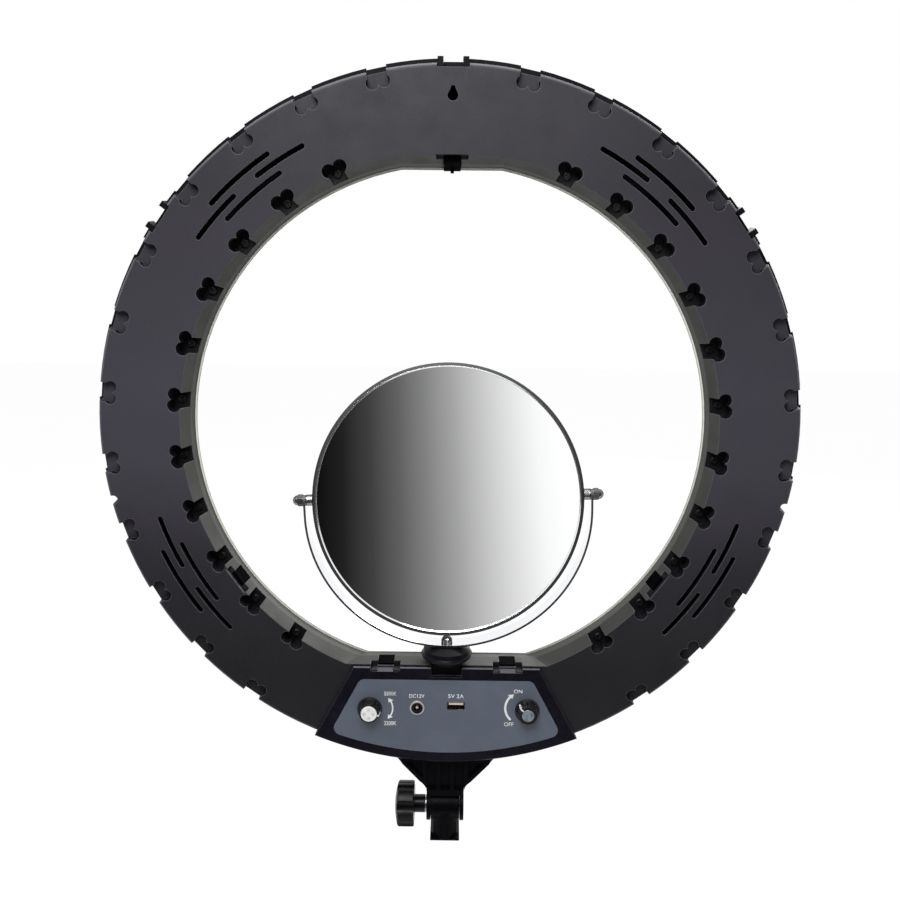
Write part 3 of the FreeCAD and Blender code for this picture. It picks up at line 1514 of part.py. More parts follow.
save("stud_lock_screw", lock_screw())
save("stud_lock_knob", lock_knob())
save("tilt_bolt", tilt_bolt())
save("tilt_nut", tilt_nut())
save("tilt_washer", tilt_washer())
save("tilt_knob", tilt_knob())
save("mirror_frame", mirror_frame())
save("mirror_glass_plain", glass_disc(-1.0))
save("mirror_glass_magnifying", glass_disc(1.0))
save("mirror_core", mirror_core())
save("mirror_pins", *mirror_pins())
save("pivot_spacers", *pivot_spacers())
save("pivot_washers", *pivot_washers())
save("pivot_cap_nuts", *cap_nuts())
save("mirror_yoke", mirror_yoke())
save("mirror_base", mirror_base())
save("mirror_foot", mirror_foot())
save("base_screw", base_screw())
save("yoke_dome_nut", dome_nut())
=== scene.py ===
import math

import bmesh
import bpy
from bpy.props import FloatProperty, FloatVectorProperty, PointerProperty
from mathutils import Euler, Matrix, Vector


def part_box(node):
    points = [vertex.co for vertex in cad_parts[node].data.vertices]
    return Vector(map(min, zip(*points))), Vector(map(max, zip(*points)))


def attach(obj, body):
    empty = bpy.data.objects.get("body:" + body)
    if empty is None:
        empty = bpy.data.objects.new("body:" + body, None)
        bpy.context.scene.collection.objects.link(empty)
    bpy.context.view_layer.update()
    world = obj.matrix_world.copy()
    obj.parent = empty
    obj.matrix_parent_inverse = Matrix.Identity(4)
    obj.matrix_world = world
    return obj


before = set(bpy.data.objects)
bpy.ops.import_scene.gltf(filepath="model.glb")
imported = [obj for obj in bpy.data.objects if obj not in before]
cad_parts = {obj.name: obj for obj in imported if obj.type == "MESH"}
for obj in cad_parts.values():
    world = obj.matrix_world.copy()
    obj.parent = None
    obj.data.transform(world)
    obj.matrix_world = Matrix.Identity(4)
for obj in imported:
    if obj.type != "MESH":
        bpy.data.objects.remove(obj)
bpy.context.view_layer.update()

bl_info = {
    "name": "Ring Light With Mirror",
    "version": (1, 0, 0),
    "blender": (4, 5, 0),
    "location": "3D View > Sidebar > Ring Light",
    "description": "Finishes, panel print, port contacts and studio for a ring light with a mirror",
    "category": "Object",
}

MM = 0.001

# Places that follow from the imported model
LABEL_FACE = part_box("panel_label")[0].y
RING_CENTRE = sum(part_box("led_board"), Vector()) / 2.0
LEFT_KNOB = sum(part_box("temperature_knob_cap"), Vector()) / 2.0
RIGHT_KNOB = sum(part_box("brightness_knob_cap"), Vector()) / 2.0
POWER_INLET = sum(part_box("dc_jack_nut"), Vector()) / 2.0
USB_PORT = sum(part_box("usb_shell"), Vector()) / 2.0
TONGUE_LOW, TONGUE_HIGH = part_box("usb_tongue")
BACK_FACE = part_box("rear_cover")[0].y

# Fixed directions. The mirror's near glass faces back and a little up, and leans slightly to one side.
BACKWARD = (0.0, -1.0, 0.0)
BACK_AND_UP = (0.0, -0.71, 0.71)
MIRROR_TILT = math.radians(14.2)
MIRROR_LEAN = math.radians(2.0)
MIRROR_FACE = (
    -math.sin(MIRROR_TILT) * math.sin(MIRROR_LEAN),
    -math.cos(MIRROR_TILT),
    math.sin(MIRROR_TILT) * math.cos(MIRROR_LEAN),
)

# Where the housing's painted light and shade change: not yet at the first height, in full at the second.
# Paler halfway up and on the flat is painted light; darker towards the foot is painted shade.
PALER_FROM_ABOVE = (0.50, 0.36)
PALER_FROM_BELOW = (0.22, 0.30)
DARKER_TO_THE_FOOT = (0.26, 0.14)
PALER_ON_THE_FLAT = (0.150, 0.142)

# Depths from the back face, likewise; beyond them painted shade covers the outer sides and the floors of
# deep recesses
UNDER_THE_ROUNDING = (0.5 * MM, 1.2 * MM)
DEEP_IN_A_RECESS = (7.0 * MM, 9.0 * MM)


# Settings a user would change

def colour(name, description, default):
    return FloatVectorProperty(
        name=name, description=description, default=default, size=3, subtype="COLOR", min=0.0, max=1.0
    )


def length(name, description, default):
    return FloatProperty(name=name, description=description, default=default, min=0.0, unit="LENGTH")


def power(name, description, default):
    return FloatProperty(name=name, description=description, default=default, min=0.0, unit="POWER")


def angle(name, description, default):
    turn = math.radians(default)
    return FloatProperty(name=name, description=description, default=turn, subtype="ANGLE")


class RingLightColours(bpy.types.PropertyGroup):
    """Colours of the ring light's finishes."""

    housing: colour("Housing", "Charcoal of the moulded back", (0.029, 0.027, 0.035))
    # Painted highlight: this paler grey stands in for light caught on sharp edges and on the rounded
    # back edge.
    edge: colour("Housing edge", "Paler grey on the moulding's sharp edges", (0.150, 0.145, 0.160))
    # Its paler shade on the flat above the panel is painted light.
    inner_wall: colour("Inner wall", "Paler charcoal around the opening", (0.115, 0.114, 0.106))
    # Painted shade: this near black stands in for shade in the pockets, wells and slots, on the clips
    # and on the light board's back.
    recess_shade: colour("Recesses", "Near black inside the pockets, wells and slots", (0.004, 0.004, 0.006))
    panel: colour("Panel frame", "Glossy black of the control panel's frame", (0.006, 0.005, 0.010))
    label: colour("Label film", "Slate blue of the film on the panel", (0.125, 0.146, 0.190))
    ink: colour("Print", "White of the printed scales", (0.880, 0.890, 0.900))
    knob: colour("Knobs", "Black of the two control knobs", (0.005, 0.005, 0.006))
    bracket: colour("Bracket", "Black of the arm, socket and hand knob", (0.002, 0.002, 0.003))
    diffuser: colour("Diffuser", "Warm white of the glowing front", (0.800, 0.785, 0.720))
    # Painted shade: the brown line stands in for shade along the diffuser's edge.
    diffuser_edge_shade: colour("Diffuser edge", "Brown line along the diffuser's edge", (0.090, 0.075, 0.062))
    chrome: colour("Chrome", "Tint of the plated mirror parts", (0.900, 0.915, 0.940))
    tongue: colour("Port tongue", "Pale plastic inside the USB port", (0.800, 0.740, 0.640))


class RingLightSizes(bpy.types.PropertyGroup):
    """Sizes of the pieces that are added to the model."""

    ink_height: length("Print thickness", "How far the print stands off the film", 0.04 * MM)
    arrow_width: length("Arrow width", "Width of the brightness arrow's line", 1.7 * MM)
    double_arrow_width: length("Double arrow width", "Width of the colour arrow's line", 1.1 * MM)
    contact_width: length("Contact width", "Width of one contact in the USB port", 1.1 * MM)
    opening_radius: length("Opening radius", "Radius of the opening at the back face", 195.4 * MM)
    strip_depth: length("Pale strip depth", "Where the opening's wall turns paler", 13.0 * MM)
    grain: length("Moulding grain", "Size of the grain in the black mouldings", 0.9 * MM)


class RingLightStudio(bpy.types.PropertyGroup):
    """Camera, lamps and floor."""

    focal_length: FloatProperty(name="Focal length", description="Camera's lens in mm", default=32.27)
    distance: length("Distance", "Camera behind the stand socket's axis", 0.58777)
    height: length("Height", "Camera above the ring's centre", 0.0955)
    pitch: angle("Pitch", "Camera's turn about X", 80.598)
    roll: angle("Roll", "Camera's turn about Y", -0.644)
    yaw: angle("Yaw", "Camera's turn about Z", 0.321)
    key_power: power("Key lamp", "Soft lamp above the camera", 8.0)
    top_power: power("Top lamp", "Overhead lamp", 14.0)
    front_power: power("Front lamp", "Lamp on the side of the glowing front", 32.0)
    floor_drop: length("Floor drop", "Floor below the stand socket, clear of every pose", 0.13)


# Finishes

class Finish:
    """A material that is built up from its shader by plain steps."""

    def __init__(self, name, base, roughness, metallic=0.0, specular=0.5):
        self.material = bpy.data.materials.new(name)
        self.material.use_nodes = True
        self.tree = self.material.node_tree
        self.shader = self.tree.nodes["Principled BSDF"]
        self.base = (*base[:3], 1.0)
        self.put("Base Color", self.base)
        self.put("Roughness", roughness)
        self.put("Metallic", metallic)
        self.put("Specular IOR Level", specular)
        self.place = self.new("ShaderNodeTexCoord").outputs["Object"]
        self.tint = None
        self.normal = None

    def new(self, kind, **settings):
        node = self.tree.nodes.new(kind)
        for key, value in settings.items():
            setattr(node, key, value)
        return node

    def link(self, source, target):
        self.tree.links.new(source, target)

    def put(self, socket, value):
        self.shader.inputs[socket].default_value = value

    def moved(self, offset=(0.0, 0.0, 0.0), stretch=(1.0, 1.0, 1.0)):
        """Object coordinates, moved and stretched."""
        node = self.new("ShaderNodeMapping")
        self.link(self.place, node.inputs["Vector"])
        node.inputs["Location"].default_value = offset
        node.inputs["Scale"].default_value = stretch
        return node.outputs["Vector"]

    def noise(self, size, detail=3.0, place=None):
        """Soft noise whose features are about the given size in metres."""
        node = self.new("ShaderNodeTexNoise")
        self.link(place or self.place, node.inputs["Vector"])
        node.inputs["Scale"].default_value = 1.0 / size
        node.inputs["Detail"].default_value = detail
        node.inputs["Roughness"].default_value = 0.55
        return node.outputs["Fac"]

    def cells(self, size):
        """Small cells, each about the given size in metres."""
        node = self.new("ShaderNodeTexVoronoi")
        self.link(self.place, node.inputs["Vector"])
        node.inputs["Scale"].default_value = 1.0 / size
        return node.outputs["Distance"]

    def rings(self, centre, pitch):
        """Turned grooves about an axis that runs in depth."""
        node = self.new("ShaderNodeTexWave", wave_type="RINGS", rings_direction="Y")
        self.link(self.moved(offset=tuple(-value for value in centre)), node.inputs["Vector"])
        node.inputs["Scale"].default_value = 0.3 / pitch
        node.inputs["Distortion"].default_value = 0.4
        return node.outputs["Fac"]

    def span(self, value, low, high, out_low=0.0, out_high=1.0):
        """Maps one range onto another and clamps it."""
        node = self.new("ShaderNodeMapRange")
        self.link(value, node.inputs["Value"])
        node.inputs["From Min"].default_value = low
        node.inputs["From Max"].default_value = high
        node.inputs["To Min"].default_value = out_low
        node.inputs["To Max"].default_value = out_high
        return node.outputs["Result"]

    def faded(self, mask, most):
        """The mask at a share of its strength."""
        return self.span(mask, 0.0, 1.0, 0.0, most)

    def opposite(self, mask):
        return self.span(mask, 1.0, 0.0)

    def both(self, first, second, operation="MULTIPLY"):
        """Combines two values; by default the result is high where both of them are."""
        node = self.new("ShaderNodeMath", operation=operation)
        self.link(first, node.inputs[0])
        self.link(second, node.inputs[1])
        return node.outputs["Value"]

    def blend_colour(self, factor, other):
        """Mixes another colour into the base wherever the factor is high."""
        node = self.new("ShaderNodeMix", data_type="RGBA")
        self.link(factor, node.inputs["Factor"])
        if self.tint is None:
            node.inputs[6].default_value = self.base
        else:
            self.link(self.tint, node.inputs[6])
        node.inputs[7].default_value = (*other[:3], 1.0)
        self.tint = node.outputs[2]
        self.link(self.tint, self.shader.inputs["Base Color"])

    def vary_roughness(self, factor, low, high):
        self.link(self.span(factor, 0.3, 0.7, low, high), self.shader.inputs["Roughness"])

    def soften(self, radius):
        """Rounds the look of sharp edges."""
        node = self.new("ShaderNodeBevel", samples=6)
        node.inputs["Radius"].default_value = radius
        self.normal = node.outputs["Normal"]
        self.link(self.normal, self.shader.inputs["Normal"])

    def edge_mask(self, radius, start=0.995, full=0.75):
        """High where the surface turns sharply within the radius."""
        bevel = self.new("ShaderNodeBevel", samples=6)
        bevel.inputs["Radius"].default_value = radius
        flat = self.new("ShaderNodeNewGeometry").outputs["Normal"]
        node = self.new("ShaderNodeVectorMath", operation="DOT_PRODUCT")
        self.link(bevel.outputs["Normal"], node.inputs[0])
        self.link(flat, node.inputs[1])
        return self.span(node.outputs["Value"], start, full)

    def recess_mask(self, reach, edge, full):
        """High inside pockets, slots and gaps that are narrower than the reach."""
        node = self.new("ShaderNodeAmbientOcclusion", samples=8, only_local=True)
        node.inputs["Distance"].default_value = reach
        return self.span(node.outputs["AO"], edge, full)

    def facing(self, direction, start, full):
        """High where the surface faces a fixed direction of the object."""
        node = self.new("ShaderNodeVectorMath", operation="DOT_PRODUCT")
        self.link(self.new("ShaderNodeTexCoord").outputs["Normal"], node.inputs[0])
        node.inputs[1].default_value = direction
        return self.span(node.outputs["Value"], start, full)

    def along(self, axis, start, full):
        """High beyond a coordinate on one of the object's axes."""
        split = self.new("ShaderNodeSeparateXYZ")
        self.link(self.place, split.inputs["Vector"])
        return self.span(split.outputs[axis], start, full)

    def into_the_depth(self, depths):
        """High beyond a depth below the back face."""
        return self.along("Y", BACK_FACE + depths[0], BACK_FACE + depths[1])

    def outside(self, radius, slope):
        """High outside a cone about the ring's axis, given by its radius at the back face."""
        reach = 0.1
        soft = 0.2 * MM
        flat = self.moved(offset=(0.0, 0.0, -RING_CENTRE.z), stretch=(1.0, 0.0, 1.0))
        node = self.new("ShaderNodeVectorMath", operation="LENGTH")
        self.link(flat, node.inputs[0])
        run = self.along("Y", BACK_FACE, BACK_FACE + reach)
        sloped = self.both(node.outputs["Value"], self.faded(run, reach * slope), "ADD")
        return self.span(sloped, radius - soft, radius + soft)

    def four_spots(self, centre, reach, size):
        """High in four spots about a middle, above, below and to both sides of it."""
        fold = self.new("ShaderNodeVectorMath", operation="ABSOLUTE")
        self.link(self.moved(offset=tuple(-value for value in centre)), fold.inputs[0])
        split = self.new("ShaderNodeSeparateXYZ")
        self.link(fold.outputs["Vector"], split.inputs["Vector"])
        spot = self.new("ShaderNodeCombineXYZ")
        self.link(self.both(split.outputs["X"], split.outputs["Z"], "MAXIMUM"), spot.inputs["X"])
        self.link(self.both(split.outputs["X"], split.outputs["Z"], "MINIMUM"), spot.inputs["Z"])
        node = self.new("ShaderNodeVectorMath", operation="DISTANCE")
        self.link(spot.outputs["Vector"], node.inputs[0])
        node.inputs[1].default_value = (reach, 0.0, 0.0)
        return self.span(node.outputs["Value"], size, 0.2 * size)

    def emboss(self, height, distance, strength):
        """Adds fine relief of the given depth in metres."""
        node = self.new("ShaderNodeBump")
        self.link(height, node.inputs["Height"])
        node.inputs["Distance"].default_value = distance
        node.inputs["Strength"].default_value = strength
        if self.normal is not None:
            self.link(self.normal, node.inputs["Normal"])
        self.normal = node.outputs["Normal"]
        self.link(self.normal, self.shader.inputs["Normal"])


def shade(base, factor):
    """The same hue, darker or lighter."""
    return tuple(min(1.0, value * factor) for value in base[:3])


def housing_finish(colours, sizes):
    """Spark-textured charcoal moulding, paler on its edges as painted highlight, near black in its
    recesses as painted shade, with painted light halfway up and painted shade towards the foot.
    """
    finish = Finish("charcoal_moulding", colours.housing, 0.52, specular=0.28)
    finish.soften(0.8 * MM)
    finish.blend_colour(finish.span(finish.noise(0.12, 2.0), 0.35, 0.7), shade(colours.housing, 0.82))
    # Painted light: the housing is lightened halfway up, where the lamps fall on it most.
    painted_light_halfway_up = finish.both(finish.along("Z", *PALER_FROM_ABOVE), finish.along("Z", *PALER_FROM_BELOW))
    finish.blend_colour(painted_light_halfway_up, shade(colours.housing, 1.8))
    speckle = finish.noise(sizes.grain, 5.0)
    finish.blend_colour(finish.span(speckle, 0.5, 0.8, 0.0, 0.35), shade(colours.housing, 1.7))
    # Painted shade: the housing darkens towards the foot.
    finish.blend_colour(finish.along("Z", *DARKER_TO_THE_FOOT), shade(colours.housing, 0.43))
    # Painted highlight on the rounded back edge.
    rounding_highlight = finish.both(finish.facing(BACKWARD, 0.98, 0.86), finish.facing(BACKWARD, 0.35, 0.5))
    finish.blend_colour(finish.faded(rounding_highlight, 0.6), colours.edge)
    upright = finish.facing(BACKWARD, 0.6, 0.35)
    beyond = finish.outside(sizes.opening_radius + 0.4 * MM, 0.25)
    tint_opening_wall(finish, finish.both(upright, finish.opposite(beyond)), colours, sizes)
    # Painted highlight on sharp edges.
    finish.blend_colour(finish.edge_mask(0.9 * MM), colours.edge)
    # Painted shade in pockets, wells, slots and gaps.
    finish.blend_colour(finish.recess_mask(12.0 * MM, 0.55, 0.3), colours.recess_shade)
    # Painted shade on the outer sides and pocket walls below the rounded back edge.
    sides = finish.both(finish.both(upright, beyond), finish.into_the_depth(UNDER_THE_ROUNDING))
    finish.blend_colour(sides, colours.recess_shade)
    # Painted shade on the floors of deep recesses.
    floor = finish.both(finish.facing(BACKWARD, 0.6, 0.9), finish.into_the_depth(DEEP_IN_A_RECESS))
    finish.blend_colour(floor, colours.recess_shade)
    finish.vary_roughness(finish.noise(0.02, 3.0), 0.5, 0.64)
    finish.emboss(finish.cells(sizes.grain * 0.8), 0.05 * MM, 0.5)
    finish.emboss(speckle, 0.12 * MM, 0.55)
    return finish.material


def tint_opening_wall(finish, wall, colours, sizes):
    """Wall around the opening, paler near the glowing front, and with painted light on the flat above
    the panel.
    """
    finish.blend_colour(wall, shade(colours.inner_wall, 0.28))
    strip = finish.into_the_depth((sizes.strip_depth, sizes.strip_depth + 1.5 * MM))
    flat = finish.along("Z", *PALER_ON_THE_FLAT)
    # Painted light on the flat above the panel; the strip near the front is paler too.
    pale = finish.both(wall, finish.both(strip, flat, "MAXIMUM"))
    finish.blend_colour(pale, shade(colours.inner_wall, 0.7))


def satin_black_finish(
    name, base, roughness=0.4, specular=0.15, grain=0.6 * MM, edge=None, slope=None
):
    """Smooth moulding with a little flow variation and paler edges, a painted highlight.

    A slope colour, painted light, goes on the faces that look back and up.
    """
    finish = Finish(name, base, roughness, specular=specular)
    finish.soften(0.3 * MM)
    finish.blend_colour(finish.span(finish.noise(0.015, 3.0), 0.4, 0.75), shade(base, 1.6))
    # Painted highlight on sharp edges.
    finish.blend_colour(finish.edge_mask(0.4 * MM), edge or shade(base, 5.0))
    # Painted light on the faces that look back and up.
    if slope is not None:
        finish.blend_colour(finish.facing(BACK_AND_UP, 0.9, 0.97), slope)
    finish.vary_roughness(finish.noise(0.006, 4.0), roughness - 0.06, roughness + 0.08)
    finish.emboss(finish.noise(grain, 3.0), 0.03 * MM, 0.4)
    return finish.material


def film_finish(colours):
    """Slate film, printed all over, with a fine tooth and a faint mottle."""
    finish = Finish("label_film", colours.label, 0.42, specular=0.3)
    finish.blend_colour(finish.span(finish.noise(0.03, 2.0), 0.35, 0.7), shade(colours.label, 0.86))
    mottle = finish.span(finish.noise(1.4 * MM, 4.0), 0.5, 0.85, 0.0, 0.3)
    finish.blend_colour(mottle, shade(colours.label, 1.35))
    finish.blend_colour(finish.edge_mask(0.5 * MM), shade(colours.label, 1.5))
    finish.vary_roughness(finish.noise(0.012, 3.0), 0.36, 0.5)
    finish.emboss(finish.noise(0.35 * MM, 3.0), 0.012 * MM, 0.5)
    return finish.material


def ink_finish(colours):
    """White ink that the film shows through here and there."""
    finish = Finish("white_print", colours.ink, 0.5, specular=0.3)
    thin = finish.span(finish.noise(0.7 * MM, 4.0), 0.55, 0.8, 0.0, 0.5)
    finish.blend_colour(thin, shade(colours.label, 3.0))
    finish.emboss(finish.noise(0.25 * MM, 2.0), 0.01 * MM, 0.4)
    return finish.material


def spun_metal_finish(
    name, base, centre, roughness=0.2, turning=0.75, metallic=0.25, reflection_blotch=0.3, spots=False
):
    """Turned metal, frosted by its fine grooves, with a highlight that fans out from the middle and with
    painted dark reflections.
    """
    finish = Finish(name, base, roughness, metallic=metallic)
    finish.put("Anisotropic", turning)
    tangent = finish.new("ShaderNodeTangent", direction_type="RADIAL", axis="Y")
    finish.link(tangent.outputs["Tangent"], finish.shader.inputs["Tangent"])
    finish.soften(0.25 * MM)
    groove = finish.rings(centre, 0.35 * MM)
    finish.blend_colour(finish.span(groove, 0.2, 0.9, 0.0, 0.3), shade(base, 0.8))
    # Painted reflection: dark patches stand in for dark surroundings mirrored in the metal.
    dark_reflection_blotches = finish.span(finish.noise(2.4 * MM, 2.0), 0.5, 0.7, 0.0, reflection_blotch)
    finish.blend_colour(dark_reflection_blotches, shade(base, 0.4))
    # Painted reflection: four grey spots in a cross about the middle.
    if spots:
        painted_reflection_spots = finish.faded(finish.four_spots(centre, 3.4 * MM, 1.9 * MM), 0.45)
        finish.blend_colour(painted_reflection_spots, shade(base, 0.34))
    finish.emboss(groove, 0.012 * MM, 0.5)
    return finish.material


def plated_finish(name, base, roughness=0.06, axis=None, line=None, dark=0.05):
    """Bright plating with handling smudges and fine hairlines.

    With an axis, faces whose cosine to it lies between the two ends of the line are dark and dull, a
    painted dark reflection.
    """
    finish = Finish(name, base, roughness, metallic=1.0)
    finish.soften(0.2 * MM)
    finish.blend_colour(finish.span(finish.noise(0.02, 3.0), 0.5, 0.8, 0.0, 0.5), shade(base, 0.93))
    # Painted reflection: a dark, dull band where the faces lie at a given angle to the axis.
    if axis is not None:
        soft = 0.03
        lean = finish.facing(axis, 0.0, 1.0)
        above = finish.span(lean, line[0] - soft, line[0])
        below = finish.span(lean, line[1] + soft, line[1])
        dull = finish.both(above, below)
        finish.blend_colour(dull, shade(base, dark))
    hairline = finish.noise(0.4 * MM, 2.0, place=finish.moved(stretch=(0.15, 1.0, 1.0)))
    smear = finish.both(finish.noise(0.012, 4.0), hairline, "ADD")
    rough = finish.span(smear, 0.8, 1.3, roughness, roughness + 0.06)
    if axis is not None:
        rough = finish.both(rough, finish.faded(dull, 0.6), "MAXIMUM")
    finish.link(rough, finish.shader.inputs["Roughness"])
    finish.emboss(finish.noise(3.0 * MM, 2.0), 0.006 * MM, 0.3)
    return finish.material


def mirror_finish():
    """Silvered glass, all but clean."""
    finish = Finish("silvered_glass", (0.96, 0.965, 0.965), 0.004, metallic=1.0)
    dust = finish.span(finish.noise(0.7 * MM, 2.0), 0.72, 0.8)
    finish.blend_colour(dust, (0.90, 0.90, 0.90))
    haze = finish.noise(0.05, 4.0)
    finish.link(finish.span(haze, 0.45, 0.8, 0.004, 0.03), finish.shader.inputs["Roughness"])
    return finish.material


def steel_finish(name, base, roughness=0.32):
    """Zinc-plated or blackened fastener metal, cut by its tool."""
    finish = Finish(name, base, roughness, metallic=1.0)
    finish.soften(0.2 * MM)
    finish.blend_colour(finish.span(finish.noise(1.5 * MM, 4.0), 0.4, 0.8), shade(base, 0.6))
    finish.blend_colour(finish.edge_mask(0.3 * MM), shade(base, 1.8))
    finish.vary_roughness(finish.noise(0.8 * MM, 4.0), roughness - 0.08, roughness + 0.14)
    finish.emboss(finish.noise(0.5 * MM, 3.0), 0.01 * MM, 0.4)
    return finish.material


def diffuser_finish(colours):
    """Milky plastic that passes a little light and has a fine satin tooth."""
    finish = Finish("milky_diffuser", colours.diffuser, 0.38, specular=0.4)
    finish.put("Subsurface Weight", 0.25)
    finish.put("Subsurface Radius", (0.012, 0.010, 0.007))
    finish.soften(0.6 * MM)
    finish.blend_colour(finish.span(finish.noise(0.05, 3.0), 0.35, 0.75), shade(colours.diffuser, 0.95))
    # Painted shade: a brown line along the diffuser's edges.
    finish.blend_colour(finish.edge_mask(0.8 * MM, 0.99, 0.85), colours.diffuser_edge_shade)
    finish.vary_roughness(finish.noise(0.01, 3.0), 0.34, 0.46)
    finish.emboss(finish.noise(0.4 * MM, 2.0), 0.015 * MM, 0.4)
    return finish.material


def board_finish(name, mask, trace, pitch, back=None, specular=0.5):
    """Circuit board: lacquer over copper runs; its back may be given another colour, which on the light
    board is painted shade.
    """
    finish = Finish(name, mask, 0.36, specular=specular)
    brick = finish.new("ShaderNodeTexBrick", offset=0.35)
    turned = finish.new("ShaderNodeMapping")
    turned.inputs["Rotation"].default_value = (math.radians(90.0), 0.0, 0.0)
    finish.link(finish.place, turned.inputs["Vector"])
    finish.link(turned.outputs["Vector"], brick.inputs["Vector"])
    brick.inputs["Scale"].default_value = 0.2 / pitch
    brick.inputs["Mortar Size"].default_value = 0.03
    finish.blend_colour(finish.span(brick.outputs["Fac"], 0.0, 1.0), trace)
    finish.blend_colour(finish.span(finish.noise(4.0 * MM, 3.0), 0.45, 0.8), shade(mask, 0.8))
    if back is not None:
        finish.blend_colour(finish.facing(BACKWARD, 0.4, 0.6), back)
    finish.vary_roughness(finish.noise(2.0 * MM, 3.0), 0.3, 0.44)
    finish.emboss(brick.outputs["Fac"], 0.02 * MM, 0.6)
    return finish.material


def chip_finish(name, phosphor):
    """Light chip: a phosphor well in a pale case."""
    finish = Finish(name, phosphor, 0.42)
    finish.blend_colour(finish.edge_mask(0.5 * MM), (0.86, 0.86, 0.84))
    finish.blend_colour(finish.span(finish.cells(0.25 * MM), 0.3, 0.8, 0.0, 0.4), shade(phosphor, 0.75))
    finish.emboss(finish.noise(0.3 * MM, 2.0), 0.02 * MM, 0.5)
    return finish.material


# Ways to make and dress pieces

def dress(material, *nodes):
    """Gives a finish to CAD nodes, through their own material slots."""
    for name in nodes:
        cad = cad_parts[name]
        if not cad.material_slots:
            cad.data.materials.append(material)
        for slot in cad.material_slots:
            slot.material = material


def new_piece(name, mesh, material, body):
    """Adds a piece that rides on a body of the model."""
    piece = bpy.data.objects.new(name, mesh)
    bpy.context.scene.collection.objects.link(piece)
    mesh.materials.clear()
    mesh.materials.append(material)
    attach(piece, body)


def add_sheet(shape, outline, front, back):
    """Adds a flat plate with the given outline of (x, z) points, between two depths."""
    near = [shape.verts.new((x, front, z)) for x, z in outline]
    far = [shape.verts.new((x, back, z)) for x, z in outline]
    shape.faces.new(near)
    shape.faces.new(list(reversed(far)))
    count = len(outline)
    for step in range(count):
        follow = (step + 1) % count
        shape.faces.new((near[follow], near[step], far[step], far[follow]))


def add_words(shape, words, centre_x, centre_z, width, height, front, back):
    """Adds a line of letters, fitted to a width and a height."""
    curve = bpy.data.curves.new("words", "FONT")
    curve.body = words
    curve.fill_mode = "FRONT"
    curve.offset = 0.012
    holder = bpy.data.objects.new("words", curve)
    bpy.context.scene.collection.objects.link(holder)
    bpy.context.view_layer.update()
    flat = bpy.data.meshes.new_from_object(holder)
    bpy.data.objects.remove(holder)
    bpy.data.curves.remove(curve)
    xs = [vertex.co.x for vertex in flat.vertices]
    ys = [vertex.co.y for vertex in flat.vertices]
    scale_x = width / (max(xs) - min(xs))
    scale_z = height / (max(ys) - min(ys))
    middle_x = (max(xs) + min(xs)) / 2.0
    middle_y = (max(ys) + min(ys)) / 2.0
    letters = bmesh.new()
    letters.from_mesh(flat)
    bmesh.ops.remove_doubles(letters, verts=letters.verts, dist=1e-5)
    for vertex in letters.verts:
        x = centre_x + (vertex.co.x - middle_x) * scale_x
        z = centre_z + (vertex.co.y - middle_y) * scale_z
        vertex.co = (x, front, z)
    raised = bmesh.ops.extrude_face_region(letters, geom=list(letters.faces))
    for item in raised["geom"]:
        if isinstance(item, bmesh.types.BMVert):
            item.co.y = back
    bmesh.ops.recalc_face_normals(letters, faces=letters.faces)
    solid = bpy.data.meshes.new("words")
    letters.to_mesh(solid)
    letters.free()
    shape.from_mesh(solid)
    bpy.data.meshes.remove(solid)
    bpy.data.meshes.remove(flat)


def arc_points(centre, radius, start, end, count=24):
    """Points (x, z) along an arc between two angles in degrees."""
    points = []
    for step in range(count + 1):
        turn = math.radians(start + (end - start) * step / count)
        points.append((centre[0] + radius * math.cos(turn), centre[1] + radius * math.sin(turn)))
    return points


def add_arc_arrow(shape, centre, radius, start, end, width, head, heads, front, back):
    """Adds a curved arrow; heads says whether the start and the end carry one."""
    reach = math.degrees(head / radius)
    way = 1.0 if end > start else -1.0
    first = start + way * reach if heads[0] else start
    last = end - way * reach if heads[1] else end
    outer = arc_points(centre, radius + width / 2.0, first, last)
    inner = arc_points(centre, radius - width / 2.0, first, last)
    add_sheet(shape, outer + inner[::-1], front, back)
    for has_head, tip, root in ((heads[0], start, first), (heads[1], end, last)):
        if has_head:
            half_head = 0.62 * head
            corners = [
                arc_points(centre, radius + half_head, root, root, 1)[0],
                arc_points(centre, radius, tip, tip, 1)[0],
                arc_points(centre, radius - half_head, root, root, 1)[0],
            ]
            add_sheet(shape, corners, front, back)


# Operators

class RINGLIGHT_OT_studio(bpy.types.Operator):
    """Set the camera, the lamps, the floor and the cards that the chrome reflects"""

    bl_idname = "ring_light.studio"
    bl_label = "Studio"

    def execute(self, context):
        studio = context.scene.ring_light_studio
        add_camera(studio)
        add_world()
        add_floor(studio.floor_drop)
        middle = Vector((0.0, 0.0, 0.32))
        upper_part = Vector((0.0, 0.0, 0.45))
        add_lamp("key_lamp", (-0.12, -0.62, 0.98), upper_part, studio.key_power, 0.5)
        add_lamp("top_lamp", (0.0, 0.15, 1.9), middle, studio.top_power, 1.0)
        add_lamp("front_lamp", (0.8, 1.7, 1.1), middle, studio.front_power, 1.2)
        add_gradient_card()
        add_dark_tent(studio.floor_drop)
        return {"FINISHED"}


def add_camera(studio):
    """A camera behind the light, with the lens shift of a cropped picture."""
    data = bpy.data.cameras.new("camera")
    data.lens = studio.focal_length
    data.sensor_width = 36.0
    data.shift_x = 0.0009
    data.shift_y = -0.0201
    data.clip_start = 0.02
    camera = bpy.data.objects.new("camera", data)
    to_the_right = 2.15 * MM
    camera.location = (RING_CENTRE.x + to_the_right, -studio.distance, RING_CENTRE.z + studio.height)
    camera.rotation_euler = Euler((studio.pitch, studio.roll, studio.yaw), "XYZ")
    bpy.context.scene.collection.objects.link(camera)
    bpy.context.scene.camera = camera


